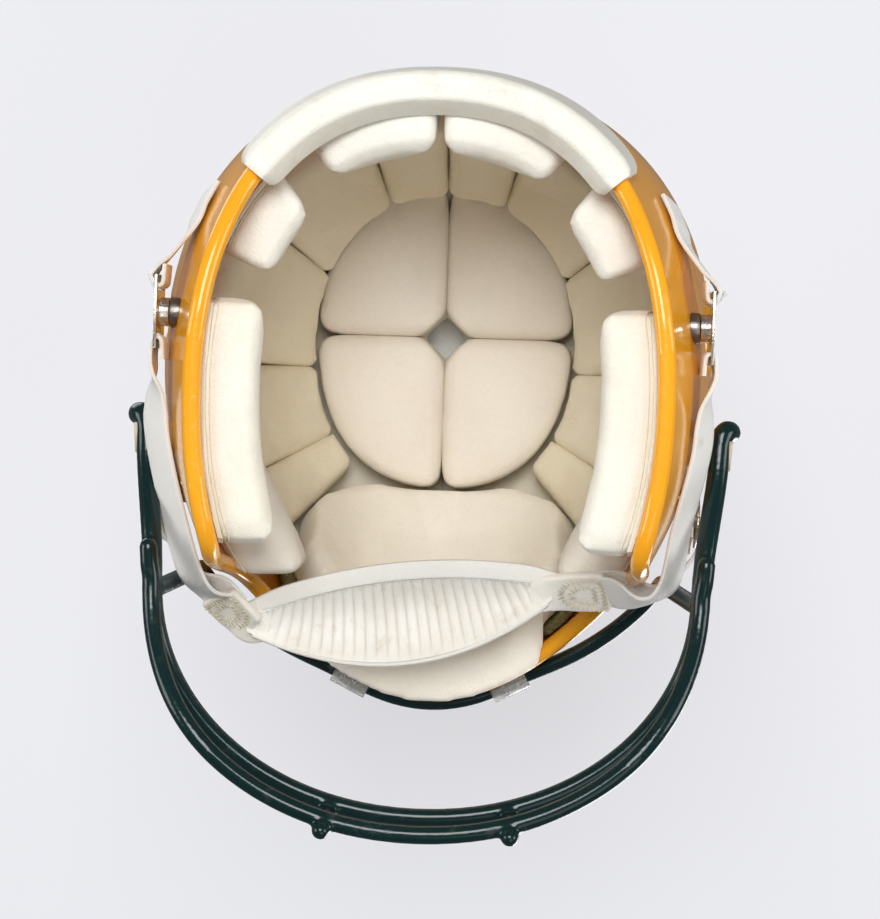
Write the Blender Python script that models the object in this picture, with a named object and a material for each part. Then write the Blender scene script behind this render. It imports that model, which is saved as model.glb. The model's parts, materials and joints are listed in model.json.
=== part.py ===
# Football helmet: moulded shell, rear bumper, wire face mask, padding and a four-point chin strap.
# Metres, +Z up. The face looks towards -Y and the wearer's left is +X. The lower edges of the jaw flaps
# lie on z = 0, and the plan's middle, from the bumper to the front of the mask, lies on the origin.
# The pieces are laid out about the head first, and moved back onto the origin at the very end.

import math

import bpy
from mathutils import Matrix, Vector

# Fits
GAP = 0.0003                  # clearance between neighbours that touch
PAD_SEAT = 0.0010             # clearance of a soft or bent back to the curved wall behind it
CUT_OVERRUN = 0.030           # how far a cutter runs past what it cuts

# Steps of the curves, and of the searches for a point of the surface
SPLINE_STEPS = 12
SEARCH_STEPS = 44
PROBE_SHARE = 0.125           # step of a slope's measurement, as a share of the wall
LONG_SIDE_STEPS = 4           # points along the long sides of a large pad's outline
SHORT_SIDE_STEPS = 3          # and of a small one's
CORNER_STEPS = 3              # points round a crown pad's corner
BOX_CORNER_STEPS = 2          # and round the other pads'

# Shell: sizes of the outer surface
SHELL_WALL = 0.0040
SHELL_HEIGHT = 0.255
WIDEST_Z = 0.120              # level of the widest section
HALF_WIDTH_WIDE = 0.126
HALF_WIDTH_JAW = 0.100
FRONT_REACH_WIDE = 0.157      # from the section's centre to the front, at the widest level
FRONT_REACH_JAW = 0.128
REAR_REACH_WIDE = 0.132
REAR_REACH_JAW = 0.128
CENTRE_Y_WIDE = -0.010
CENTRE_Y_JAW = -0.023
CROWN_Y = -0.016
RIM_RADIUS = 0.0040           # the rolled rim's round bead
RIM_LOW_Z = 0.0036            # the bead's centre along the jaw flaps
NECK_EDGE_Z = 0.036
BROW_EDGE_Z = 0.138

# Shell: shares that shape the sections
FLARE_SHARE = 1.6             # power by which the sides draw in below the widest level
FRONT_POWER_JAW_SHARE = 2.35  # superellipse powers of the front and rear halves
FRONT_POWER_WIDE_SHARE = 2.0
REAR_POWER_SHARE = 2.25
FRONT_TAPER_WIDE_SHARE = 0.21
REAR_TAPER_JAW_SHARE = 0.08
DOME_POWER_SHARE = 2.2

# Rim of the left half from the nape to the brow: share of the section's half length (1 at the rear,
# -1 at the front) and share of the height between the jaw level and the neck or the brow edge.
NECK_RIM_SHARES = ((1.0, 1.0), (0.93, 0.86), (0.72, 0.60), (0.51, 0.22), (0.30, 0.03))
JAW_RIM_SHARES = (0.10, -0.15, -0.34)
FACE_RIM_SHARES = ((-0.50, 0.035), (-0.570, 0.14), (-0.600, 0.42), (-0.625, 0.70),
                   (-0.68, 0.87), (-0.80, 0.955), (-0.93, 0.99), (-1.0, 1.0))
RIM_STEPS = 36                # points along one half of the rim
RIM_FINE_STEPS = 216          # and of the smooth curve that they are taken from

SHELL_COLUMNS = 52
SHELL_LOW_ROWS = 6
SHELL_DOME_ROWS = 8

# Ear holes
EAR_HOLE_RADIUS = 0.016
EAR_HOLE_Y = 0.004
EAR_HOLE_Z = 0.088
EAR_HOLE_SIDES = 20

# Rear bumper, as a section about the rim's centre line: outwards and upwards
BUMPER_OUT = 0.0078
BUMPER_IN = 0.0075
BUMPER_DOWN = 0.0085
BUMPER_UP = 0.030
BUMPER_LIP_UP = 0.0030
BUMPER_EDGE_ROUND = 0.0030
BUMPER_END_SHARE = 0.665      # where it ends, as a share of the section's rear half length
BUMPER_STEPS = 22
BUMPER_TAPER_SHARE = 0.45     # how much lower it gets at its ends
BUMPER_TAPER_POWER_SHARE = 4  # and how suddenly

# Face mask
WIRE_RADIUS = 0.0037
WIRE_SIDES = 8
MASK_INSET = 0.0065            # the bars' round front, inside the shell's half width
MASK_HALF_WIDTH = HALF_WIDTH_WIDE - MASK_INSET
MASK_FRONT_Y = -0.2105        # centre of the upper jaw bar at the front
MASK_LOWER_FORWARD = 0.0005   # how much further forward the lower bar lies
MASK_WAIST_Y = -0.108         # where the round front of the bars begins
MASK_REAR_Y = -0.034
MASK_REAR_OUT = 0.0015         # the bars' rear ends, beyond it
MASK_REAR_HALF_WIDTH = HALF_WIDTH_WIDE + MASK_REAR_OUT
MASK_SIDE_SHARES = (0.0, 0.22, 0.48, 0.76)   # places along the side of the upper bar
MASK_UPPER_Z = 0.047
MASK_LOWER_Z = 0.0165
MASK_REAR_Z = 0.070
MASK_PLAN_POWER_SHARE = 2.15
LOWER_BAR_DROP_SHARE = 1.4    # how soon the lower bar reaches its full drop
MASK_STEPS = 24
UPRIGHT_X = 0.040
UPRIGHT_OVERRUN = 0.0035
BROW_BAR_STAND_OFF = 0.0045   # the brow bar's centre beyond the outer surface, at the front
BROW_BAR_END_STAND_OFF = 0.0125
BROW_BAR_Z = 0.1465
BROW_BAR_END_Y = -0.100
BROW_BAR_END_Z = 0.103
BROW_BAR_STEPS = 26
BROW_BAR_FALL_SHARES = (0.42, 1.04)    # where along its half the bar starts and ends its fall
BROW_BAR_LEAVE_SHARES = (0.38, 0.95)   # and where it leaves the shell
SIDE_LINK_Y = -0.1185

# Mask clips
CLIP_WALL = 0.0019
CLIP_WIDTH_BROW = 0.018
CLIP_WIDTH_SIDE = 0.013
CLIP_TAB_LENGTH = 0.017
CLIP_TAB_THICKNESS = 0.0034
CLIP_SEGMENTS = 10
BROW_CLIP_X = 0.0372
SIDE_CLIP_Y = -0.047
SCREW_HEAD_RADIUS = 0.0042
SCREW_HEAD_HEIGHT = 0.0022
SCREW_SHANK_RADIUS = 0.0020
SCREW_SLOT_WIDTH = 0.0009
SCREW_SLOT_DEPTH = 0.0010
SCREW_SIDES = 16
SCREW_WALL_SHARE = 0.45       # upright part of the head's side
SCREW_TOP_SHARE = 0.6         # width of the head's flat top

# Snap studs and buckles
REAR_STUD_Y = 0.008
REAR_STUD_Z = 0.046
FRONT_STUD_Y = -0.070
FRONT_STUD_Z = 0.092
STUD_BASE_RADIUS = 0.0068
STUD_BASE_OUT = 0.0024        # rim of the base beyond the outer surface
STUD_NECK_RADIUS = 0.0024
STUD_HEAD_RADIUS = 0.0033
STUD_NECK_OUT = 0.0038
STUD_OUT = 0.0058
STUD_SIDES = 16
SNAP_WALL = 0.0013
SNAP_RADIUS = 0.0062
SNAP_CLEARANCE = 0.0006
BUCKLE_LENGTH = 0.032
BUCKLE_WIDTH = 0.025
BUCKLE_PLATE = 0.0014
BUCKLE_BAR = 0.0030
BUCKLE_SLOT = 0.0036
FRONT_BUCKLE_LEAN = math.radians(28)   # how far the front buckles' forward ends point down

# Straps
STRAP_WIDTH = 0.0190
STRAP_THICKNESS = 0.0018
STRAP_CLEARANCE = 0.0010
STRAP_STAND_OFF = 0.0036      # the tilted web's middle beyond the shell
STRAP_SECTION_SHARES = ((-0.5, -0.5), (0.5, -0.5), (0.5, 0.5), (-0.5, 0.5))
STRAP_STEPS = 20
STRAP_TILT = math.radians(20)          # how far the rear webs face downwards past the cheek
FRONT_STRAP_TILT = math.radians(8)
STRAP_CUP_TILT = math.radians(52)      # how far all webs do at the cup
TAIL_STEPS = 9
REAR_TAIL_LENGTH = 0.044      # rearwards, beyond the buckle
REAR_TAIL_RISE = 0.024
FRONT_TAIL_LENGTH = 0.028
FRONT_TAIL_RISE = 0.012
TAIL_SHARES = (0.3, 0.65, 1.0)
REAR_CORNER_Y = -0.1085       # where the rear webs turn round the jaw flap
REAR_CORNER_Z = 0.0600
FRONT_CORNER_Y = -0.1078      # and the front webs above them
FRONT_CORNER_Z = 0.0775
REAR_CORNER_OUT = 0.01378       # how far sideways of the shell's surface they do
FRONT_CORNER_OUT = 0.01252
REAR_ROUTE_SHARES = ((0.20, 0.03), (0.40, 0.14), (0.70, 0.50))   # way forward and rise to the corner

# Chin cup
CUP_X = 0.012
CUP_Y = -0.1285
CUP_Z = 0.080
CUP_HALF_WIDTH = 0.069
CUP_HALF_DEPTH = 0.0195
CUP_DOME = 0.015
CUP_TURN = math.radians(8)
CUP_WALL = 0.0026
CUP_SEAM = 0.0012             # clearance between the liner and the outer shell of the cup
CUP_LINER = 0.0060
CUP_RIBS = 22
CUP_SHELL_COLUMNS = 22
CUP_RIB_HEIGHT = 0.0016
CUP_ROWS = 4
CUP_POINT_SHARE = 0.80        # how much the cup narrows to its ends
CUP_LENGTH_POWER_SHARE = 0.8  # shape of the dome along and across
CUP_CROSS_SHARE = 0.8
CUP_RIB_POWER_SHARE = 0.7
CUP_RIB_FADE_SHARE = 6.0
BINDING_WIDTH = 0.0085
BINDING_THICKNESS = 0.0050
BINDING_REACH_SHARE = 0.90
TAB_START = 0.0052
TAB_SHARE = 0.42              # length of the tab as a share of the way to the jaw flap's edge
TAB_THICKNESS = 0.0036
TAB_SEWN_SHARE = 0.55         # part of the tab on which the front web's end is sewn
TAB_STEPS = 3

# Padding: common values
PAD_EDGE_ROUND = 0.0050
PAD_CORNER = 2 * PAD_EDGE_ROUND    # of the forehead and jaw pads' outlines
PAD_CROWN = 0.0030
LINER_THICKNESS = 0.0016
PAD_BACK_SHARE = 0.30         # shares of the rounded edge: how a cushion's side draws in
PAD_BULGE_SHARE = 0.55
PAD_DRAW_SHARE = 0.12
PAD_FACE_SHARE = 0.55         # where the crown of the face levels off
PAD_CROWN_SHARE = 0.80

# Crown pads
CROWN_PADS_Y = 0.005
CROWN_PADS_HALF_WIDTH = 0.0635
CROWN_PADS_HALF_LENGTH = 0.0760
CROWN_PAD_DROP = 0.044         # from the top of the shell down to the faces
CROWN_PAD_FACE_Z = SHELL_HEIGHT - CROWN_PAD_DROP
CROWN_PAD_LEAST = 0.008        # least thickness, at the rear end
CROWN_PAD_THICKNESS = CROWN_PAD_DROP - SHELL_WALL
CROWN_PAD_SEAM = 0.0012
CROWN_PAD_CORNER = 0.013
CROWN_PAD_INNER_CORNER = 0.009
CROWN_BASE_MARGIN = 0.020
CROWN_BASE_SIDES = 20
CROWN_FACE_SHARE = 0.7        # how much flatter the crown pads' faces are than the others'
CROWN_ARC_STEPS = 10
CORNER_REACH_SHARE = 0.45     # how much of a side one rounded corner may use
CROWN_OVAL_SHARE = 0.86       # how much fuller than an ellipse the pads' oval is

# Liner cells, set out by polar angles about a point inside the head
HEAD_CENTRE = Vector((0.0, -0.012, 0.100))
CELL_THICKNESS = 0.019
CELL_GAP = 0.0010
CELL_TOP_GAP = 0.0014         # between the cells' tops and the crown pads
CELL_EDGE_ROUND = 0.0024
CELL_CORNER = 0.0030
CELL_HEIGHT = 0.100           # nominal height of a cell, along the wall
CELL_BOTTOM = math.radians(77)
CELL_BOUNDS = tuple(math.radians(a) for a in (0, 19, 52, 90, 121, 137))
CELL_NAMES = ("back_cell", "rear_cell", "side_cell_rear", "side_cell_front", "front_cell")

# Forehead pad, laid out on a plane that faces it: shares of the distance from the head's centre
FOREHEAD_TILT = math.radians(54)
FOREHEAD_SHARES = ((-0.40, -0.55), (0.0, -0.575), (0.40, -0.55), (0.60, -0.12), (0.58, 0.33),
                   (0.34, 0.505), (-0.34, 0.505), (-0.58, 0.33), (-0.60, -0.12))
FOREHEAD_THICKNESS = 0.021
FOREHEAD_EDGE_ROUND = 0.0034
FOREHEAD_LIP_FROM_SHARE = -0.455   # below this the pad hooks under the brow's bead
FOREHEAD_LIP_TO_SHARE = -0.475
FOREHEAD_LIP_OUT = 0.0065
FOREHEAD_BACKING = 0.0050
FOREHEAD_BACKING_SHARES = ((-0.50, -0.33), (-0.28, -0.20), (0.28, -0.20), (0.50, -0.33), (0.66, -0.12),
                           (0.56, 0.24), (-0.56, 0.24), (-0.66, -0.12))

# Jaw pads
JAW_PAD_FRONT_Y = -0.090
JAW_PAD_REAR_Y = 0.014
JAW_PAD_LOW_Z = 0.0085
JAW_PAD_HIGH_Z = 0.070
JAW_PAD_THICKNESS = 0.0225
JAW_BACKING = 0.0022
JAW_PAD_STAND_OFF = 0.0026
SPACER_RADIUS = 0.0055
JAW_SPACER_Y = (-0.068, -0.030)
JAW_SPACER_Z = 0.040

# Temple pads
TEMPLE_FRONT_Y = -0.106
TEMPLE_REAR_Y = -0.052
TEMPLE_LOW_Z = 0.0800
TEMPLE_HIGH_Z = 0.121
TEMPLE_THICKNESS = 0.030

# Neck pads
NAPE_HALF_SPAN = math.radians(31)
NAPE_SEAM = math.radians(0.8)
NECK_PAD_LOW_Z = 0.040
NECK_PAD_HIGH_Z = 0.080
NAPE_THICKNESS = 0.0245
NECK_SIDE_FROM = math.radians(41)
NECK_SIDE_TO = math.radians(64)
NECK_SIDE_THICKNESS = 0.0230
NECK_BACKING = 0.0022
NECK_STAND_OFF = 0.0052

LEFT = 1
RIGHT = -1
SIDES = (("left", LEFT), ("right", RIGHT))

# Finishes: colour, roughness, metallic
FINISHES = {
    "yellow_shell": ((1.0, 0.45, 0.02), 0.22, 0.0),
    "white_vinyl": ((0.86, 0.86, 0.83), 0.45, 0.0),
    "cream_pad": ((0.86, 0.80, 0.70), 0.6, 0.0),
    "grey_liner": ((0.42, 0.41, 0.39), 0.7, 0.0),
    "olive_foam": ((0.36, 0.33, 0.14), 0.9, 0.0),
    "green_coating": ((0.004, 0.035, 0.032), 0.2, 0.0),
    "clear_plastic": ((0.75, 0.74, 0.70), 0.25, 0.0),
    "tan_plastic": ((0.62, 0.56, 0.44), 0.4, 0.0),
    "bright_metal": ((0.62, 0.61, 0.58), 0.25, 1.0),
    "white_web": ((0.88, 0.88, 0.86), 0.7, 0.0),
}


def finish(name):
    """The material of a finish, made once."""
    if name in bpy.data.materials:
        return bpy.data.materials[name]
    colour, roughness, metallic = FINISHES[name]
    material = bpy.data.materials.new(name)
    material.use_nodes = True
    shader = material.node_tree.nodes["Principled BSDF"]
    shader.inputs["Base Color"].default_value = (*colour, 1.0)
    shader.inputs["Roughness"].default_value = roughness
    shader.inputs["Metallic"].default_value = metallic
    return material


def clear_scene():
    for item in list(bpy.data.objects):
        bpy.data.objects.remove(item)


def mesh_object(name, points, faces, material_name):
    mesh = bpy.data.meshes.new(name)
    mesh.from_pydata([tuple(p) for p in points], [], faces)
    mesh.validate()
    mesh.shade_smooth()
    item = bpy.data.objects.new(name, mesh)
    bpy.context.collection.objects.link(item)
    mesh.materials.append(finish(material_name))
    return item


def apply_modifiers(item):
    """Turn the evaluated shape into the object's own mesh."""
    graph = bpy.context.evaluated_depsgraph_get()
    mesh = bpy.data.meshes.new_from_object(item.evaluated_get(graph))
    item.modifiers.clear()
    item.data = mesh
    return item


def trim_by(item, tool, operation="DIFFERENCE"):
    """Join, cut or trim an object by another that is kept."""
    step = item.modifiers.new("fit", "BOOLEAN")
    step.operation = operation
    step.solver = "EXACT"
    step.object = tool
    return apply_modifiers(item)


def boolean(item, tool, operation):
    """Join, cut or trim an object by another, which is then removed."""
    trim_by(item, tool, operation)
    bpy.data.objects.remove(tool)
    return item


def blend(a, b, share):
    return a + (b - a) * share


def smooth_share(value):
    share = min(max(value, 0.0), 1.0)
    return share * share * (3 - 2 * share)


def between_shares(value, limits):
    """0 at the first limit and 1 at the second, with an easy start and end."""
    low, high = limits
    return smooth_share((value - low) / (high - low))


def signed_power(value, power):
    return math.copysign(abs(value) ** power, value)


def spline_points(points, steps):
    """Points spread evenly along a smooth curve through the given ones."""
    vectors = [Vector(p) for p in points]
    fine = []
    for i in range(len(vectors) - 1):
        before = vectors[max(i - 1, 0)]
        start = vectors[i]
        end = vectors[i + 1]
        after = vectors[min(i + 2, len(vectors) - 1)]
        for k in range(SPLINE_STEPS):
            t = k / SPLINE_STEPS
            fine.append(0.5 * (2 * start + (end - before) * t
                               + (2 * before - 5 * start + 4 * end - after) * t ** 2
                               + (3 * start - before - 3 * end + after) * t ** 3))
    fine.append(vectors[-1])
    return even_points(fine, steps)


def even_points(points, steps):
    """The polyline's points, spread evenly: steps + 1 of them."""
    lengths = [0.0]
    for a, b in zip(points, points[1:]):
        lengths.append(lengths[-1] + (b - a).length)
    result = []
    place = 0
    for i in range(steps + 1):
        target = lengths[-1] * i / steps
        while place < len(points) - 2 and lengths[place + 1] < target:
            place += 1
        span = lengths[place + 1] - lengths[place]
        share = (target - lengths[place]) / span if span else 0.0
        result.append(points[place].lerp(points[place + 1], min(share, 1.0)))
    return result


# The outer surface

def section(z, grow):
    """Half width, centre, reaches and shape of the level section at z, grown by a distance."""
    share = smooth_share(z / WIDEST_Z)
    draw = max((WIDEST_Z - z) / WIDEST_Z, 0.0) ** FLARE_SHARE
    return {
        "half_width": blend(HALF_WIDTH_WIDE, HALF_WIDTH_JAW, draw) + grow,
        "centre": blend(CENTRE_Y_JAW, CENTRE_Y_WIDE, share),
        "front": blend(FRONT_REACH_JAW, FRONT_REACH_WIDE, share) + grow,
        "rear": blend(REAR_REACH_JAW, REAR_REACH_WIDE, share) + grow,
        "front_power": blend(FRONT_POWER_JAW_SHARE, FRONT_POWER_WIDE_SHARE, share),
        "front_taper": blend(0.0, FRONT_TAPER_WIDE_SHARE, share),
        "rear_taper": blend(REAR_TAPER_JAW_SHARE, 0.0, share),
    }


def halves(cut, rear):
    """Reach, power and taper of the rear or the front half of a section."""
    if rear:
        return cut["rear"], REAR_POWER_SHARE, cut["rear_taper"]
    return cut["front"], cut["front_power"], cut["front_taper"]


def section_point(turn, z, grow):
    """A point of the level section: turn 0 is the rear, a quarter turn is the left side."""
    cut = section(z, grow)
    reach, power, taper = halves(cut, math.cos(turn) >= 0)
    along = signed_power(math.cos(turn), 2 / power)
    across = signed_power(math.sin(turn), 2 / power)
    x = cut["half_width"] * (1 - taper * along * along) * across
    return Vector((x, cut["centre"] + reach * along, z))


def surface_point(turn, rise, grow):
    """A point of the surface: rise is -1 at the jaw level, 0 at the widest level and 1 at the crown."""
    if rise <= 0:
        return section_point(turn, WIDEST_Z * (1 + rise), grow)
    quarter = rise * math.pi / 2
    height = SHELL_HEIGHT + grow - WIDEST_Z
    lift = math.sin(quarter) ** (2 / DOME_POWER_SHARE)
    shrink = max(math.cos(quarter), 0.0) ** (2 / DOME_POWER_SHARE)
    wide = section_point(turn, WIDEST_Z, grow)
    centre = blend(CENTRE_Y_WIDE, CROWN_Y, lift)
    return Vector((wide.x * shrink, centre + (wide.y - CENTRE_Y_WIDE) * shrink, WIDEST_Z + height * lift))


def dome_scale(z, grow):
    """How much the widest section has shrunk at a height above it, and where its centre lies."""
    height = SHELL_HEIGHT + grow - WIDEST_Z
    lift = min(max((z - WIDEST_Z) / height, 0.0), 1.0)
    shrink = (1 - lift ** DOME_POWER_SHARE) ** (1 / DOME_POWER_SHARE)
    return shrink, blend(CENTRE_Y_WIDE, CROWN_Y, lift)


def surface_at(turn, z, grow):
    """A point of the surface by its turn and its height."""
    if z <= WIDEST_Z:
        return section_point(turn, z, grow)
    shrink, centre = dome_scale(z, grow)
    wide = section_point(turn, WIDEST_Z, grow)
    return Vector((wide.x * shrink, centre + (wide.y - CENTRE_Y_WIDE) * shrink, z))


def inside_value(point, grow):
    """Below 1 inside the surface and above 1 outside it."""
    x, y, z = point
    if z > SHELL_HEIGHT + grow:
        return 2.0
    cut = section(min(z, WIDEST_Z), grow)
    shrink, centre = (1.0, cut["centre"]) if z <= WIDEST_Z else dome_scale(z, grow)
    if shrink <= 0:
        return 2.0
    reach, power, taper = halves(cut, y >= centre)
    along = (y - centre) / (reach * shrink)
    if abs(along) >= 1:
        return abs(along) ** power + 1
    across = x / (cut["half_width"] * shrink * (1 - taper * along * along))
    return abs(along) ** power + abs(across) ** power


def surface_along(origin, direction, grow):
    """Where a line from inside the head meets the surface."""
    near = 0.0
    far = SHELL_HEIGHT + HALF_WIDTH_WIDE
    for _ in range(SEARCH_STEPS):
        middle = (near + far) / 2
        if inside_value(origin + direction * middle, grow) < 1:
            near = middle
        else:
            far = middle
    return near


def side_x(y, z, grow):
    """Half width of the surface at y and z."""
    return surface_along(Vector((0, y, z)), Vector((1, 0, 0)), grow)


def surface_normal(point, grow):
    """Outward direction of the surface near a point."""
    step = SHELL_WALL * PROBE_SHARE
    slopes = []
    for axis in range(3):
        ahead = point.copy()
        behind = point.copy()
        ahead[axis] += step
        behind[axis] -= step
        slopes.append(inside_value(ahead, grow) - inside_value(behind, grow))
    return Vector(slopes).normalized()


# The rim

def turn_at(along, power):
    """The turn at a share of the section's half length."""
    return math.acos(signed_power(along, power / 2))


def rim_path():
    """The left half of the rim's centre line from the nape to the brow, on the middle of the wall."""
    stations = []
    for along, high in NECK_RIM_SHARES:
        stations.append((turn_at(along, REAR_POWER_SHARE), blend(RIM_LOW_Z, NECK_EDGE_Z, high)))
    for along in JAW_RIM_SHARES:
        stations.append((turn_at(along, FRONT_POWER_JAW_SHARE), RIM_LOW_Z))
    for along, high in FACE_RIM_SHARES:
        z = blend(RIM_LOW_Z, BROW_EDGE_Z, high)
        power = section(min(z, WIDEST_Z), 0.0)["front_power"]
        stations.append((turn_at(along, power), z))
    flat = [Vector((turn * HALF_WIDTH_JAW, z, 0.0)) for turn, z in stations]
    points = []
    for p in spline_points(flat, RIM_FINE_STEPS):
        turn = min(max(p.x / HALF_WIDTH_JAW, 0.0), math.pi)
        z = max(p.y, RIM_LOW_Z)
        points.append(surface_at(turn, z, -SHELL_WALL / 2))
    points[0].x = 0.0
    points[-1].x = 0.0
    return even_points(points, RIM_STEPS)


def mirrored_loop(half):
    """A closed loop from its left half, whose ends lie on the middle plane."""
    return half + [Vector((-p.x, p.y, p.z)) for p in reversed(half[1:-1])]


def ring_faces(rings, sides, closed):
    """Quads between rings of points; a loop of rings closes on itself."""
    faces = []
    count = len(rings)
    for i in range(count if closed else count - 1):
        low = i * sides
        high = ((i + 1) % count) * sides
        for k in range(sides):
            after = (k + 1) % sides
            faces.append((low + k, low + after, high + after, high + k))
    if not closed:
        faces.append(tuple(reversed(range(sides))))
        faces.append(tuple(range((count - 1) * sides, count * sides)))
    return faces


def sweep(name, path, sections, material_name, closed=False):
    """A solid through sections, one for each point of the path: lists of offsets from the point."""
    points = []
    for centre, offsets in zip(path, sections):
        points.extend(centre + offset for offset in offsets)
    item = mesh_object(name, points, ring_faces(path, len(sections[0]), closed), material_name)
    return face_outwards(item)


def face_outwards(item):
    """Turn the faces outwards, going by the enclosed volume."""
    volume = 0.0
    mesh = item.data
    mesh.calc_loop_triangles()
    for triangle in mesh.loop_triangles:
        a, b, c = (mesh.vertices[i].co for i in triangle.vertices)
        volume += a.dot(b.cross(c))
    if volume < 0:
        mesh.flip_normals()
    return item


def directions(path, closed=False):
    """Unit directions along a path."""
    count = len(path)
    result = []
    for i in range(count):
        if closed:
            before, after = path[i - 1], path[(i + 1) % count]
        else:
            before, after = path[max(i - 1, 0)], path[min(i + 1, count - 1)]
        result.append((after - before).normalized())
    return result


def circle_offsets(u, v, radius, sides, turned=0.0):
    offsets = []
    for k in range(sides):
        angle = 2 * math.pi * (k + turned) / sides
        offsets.append(u * (math.cos(angle) * radius) + v * (math.sin(angle) * radius))
    return offsets


def wire(name, path, radius, material_name, sides=WIRE_SIDES):
    """A round bar along a path, with flat ends."""
    along = directions(path)
    side = along[0].orthogonal().normalized()
    sections = []
    for d in along:
        side = (side - d * side.dot(d)).normalized()
        sections.append(circle_offsets(side, d.cross(side), radius, sides))
    return sweep(name, path, sections, material_name)


# The shell

def dome_solid(name, grow, material_name):
    """The closed solid inside the surface, down to just above the jaw level's underside."""
    rises = [-1 - CUT_OVERRUN / WIDEST_Z]
    rises += [-1 + i / SHELL_LOW_ROWS for i in range(SHELL_LOW_ROWS)]
    rises += [(i / SHELL_DOME_ROWS) for i in range(SHELL_DOME_ROWS)]
    points = []
    for rise in rises:
        for k in range(SHELL_COLUMNS):
            turn = 2 * math.pi * k / SHELL_COLUMNS
            points.append(surface_point(turn, rise, grow))
    points.append(surface_point(0.0, 1.0, grow))
    faces = ring_faces(rises, SHELL_COLUMNS, False)
    faces.pop()
    last = (len(rises) - 1) * SHELL_COLUMNS
    for k in range(SHELL_COLUMNS):
        faces.append((last + k, last + (k + 1) % SHELL_COLUMNS, len(points) - 1))
    return face_outwards(mesh_object(name, points, faces, material_name))


def profile_cutter(rim):
    """A prism across the helmet that takes away the face opening and all below the rim."""
    outline = [(p.y, p.z) for p in rim]
    front = -FRONT_REACH_WIDE - 2 * CUT_OVERRUN
    rear = REAR_REACH_WIDE + CUT_OVERRUN
    low = -2 * CUT_OVERRUN
    outline.append((front, rim[-1].z))
    outline.append((front, low))
    outline.append((rear, low))
    outline.append((rear, rim[0].z))
    half = HALF_WIDTH_WIDE + CUT_OVERRUN
    count = len(outline)
    points = [Vector((-half, y, z)) for y, z in outline] + [Vector((half, y, z)) for y, z in outline]
    faces = [tuple(range(count)), tuple(reversed(range(count, 2 * count)))]
    for k in range(count):
        after = (k + 1) % count
        faces.append((k, k + count, after + count, after))
    return face_outwards(mesh_object("profile_cutter", points, faces, "yellow_shell"))


def rim_bead(name, rim, grow):
    """The rolled rim, an eight-sided bead whose lowest side is flat along the jaw flaps."""
    loop = mirrored_loop(rim)
    along = directions(loop, closed=True)
    sections = []
    for centre, d in zip(loop, along):
        out = surface_normal(centre, -SHELL_WALL / 2)
        out.z = 0.0
        out = (out - d * out.dot(d)).normalized()
        down = d.cross(out)
        sections.append(circle_offsets(out, down, RIM_RADIUS + grow, WIRE_SIDES, turned=0.5))
    floor = -grow
    for centre, offsets in zip(loop, sections):
        for offset in offsets:
            offset.z = max(offset.z, floor - centre.z)
    return sweep(name, loop, sections, "yellow_shell", closed=True)


def make_shell(name, rim, grow):
    """The shell with its rim; a grown copy gives the clearance for what sits on it."""
    shell = dome_solid(name, grow, "yellow_shell")
    boolean(shell, dome_solid("hollow", -SHELL_WALL - grow, "yellow_shell"), "DIFFERENCE")
    boolean(shell, profile_cutter(rim), "DIFFERENCE")
    boolean(shell, rim_bead("bead", rim, grow), "UNION")
    return shell


def cylinder_between(name, start, end, radius, sides, material_name):
    return wire(name, [start, end], radius, material_name, sides)


def cut_ear_holes(shell):
    for _, side in SIDES:
        middle = Vector((side * side_x(EAR_HOLE_Y, EAR_HOLE_Z, 0.0), EAR_HOLE_Y, EAR_HOLE_Z))
        reach = Vector((CUT_OVERRUN, 0, 0))
        hole = cylinder_between("ear_hole", middle - reach, middle + reach, EAR_HOLE_RADIUS,
                                EAR_HOLE_SIDES, "yellow_shell")
        boolean(shell, hole, "DIFFERENCE")


# The rear bumper

def make_bumper(rim, clearance_shell):
    """A moulded channel that wraps the neck edge from the outside, round the bead, to a lip inside."""
    limit = section(NECK_EDGE_Z, 0.0)
    end_y = limit["centre"] + limit["rear"] * BUMPER_END_SHARE
    half = []
    for p in rim:
        if p.y < end_y:
            break
        half.append(p)
    path = [Vector((-p.x, p.y, p.z)) for p in reversed(half[1:])] + half
    path = even_points(path, BUMPER_STEPS)
    corner = BUMPER_EDGE_ROUND
    outline = (
        (-BUMPER_IN, BUMPER_LIP_UP),
        (-BUMPER_IN, -BUMPER_DOWN + 2 * corner),
        (-BUMPER_IN + corner, -BUMPER_DOWN),
        (BUMPER_OUT - 2 * corner, -BUMPER_DOWN),
        (BUMPER_OUT, -BUMPER_DOWN + 2 * corner),
        (BUMPER_OUT, BUMPER_UP - corner),
        (BUMPER_OUT - corner, BUMPER_UP),
        (0.0, BUMPER_UP),
        (0.0, RIM_RADIUS),
    )
    sections = []
    for i, centre in enumerate(path):
        out = surface_normal(centre, -SHELL_WALL / 2)
        level = Vector((out.x, out.y, 0)).normalized()
        up = Vector((0, 0, 1))
        taper = 1.0 - BUMPER_TAPER_SHARE * abs(2 * i / BUMPER_STEPS - 1) ** BUMPER_TAPER_POWER_SHARE
        offsets = []
        for n, h in outline:
            high = h * taper if h > 0 else h
            lean = side_lean(centre, high)
            offsets.append(level * (n + lean) + up * high)
        sections.append(offsets)
    bumper = sweep("rear_bumper", path, sections, "white_vinyl")
    return trim_by(bumper, clearance_shell)


def side_lean(centre, high):
    """How far the outer surface moves outwards over a height above the rim."""
    if high <= 0:
        return 0.0
    origin = Vector((0, CENTRE_Y_WIDE, centre.z))
    level = Vector((centre.x, centre.y - CENTRE_Y_WIDE, 0)).normalized()
    low = surface_along(origin, level, 0.0)
    above = surface_along(origin + Vector((0, 0, high)), level, 0.0)
    return above - low


# The face mask

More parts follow.
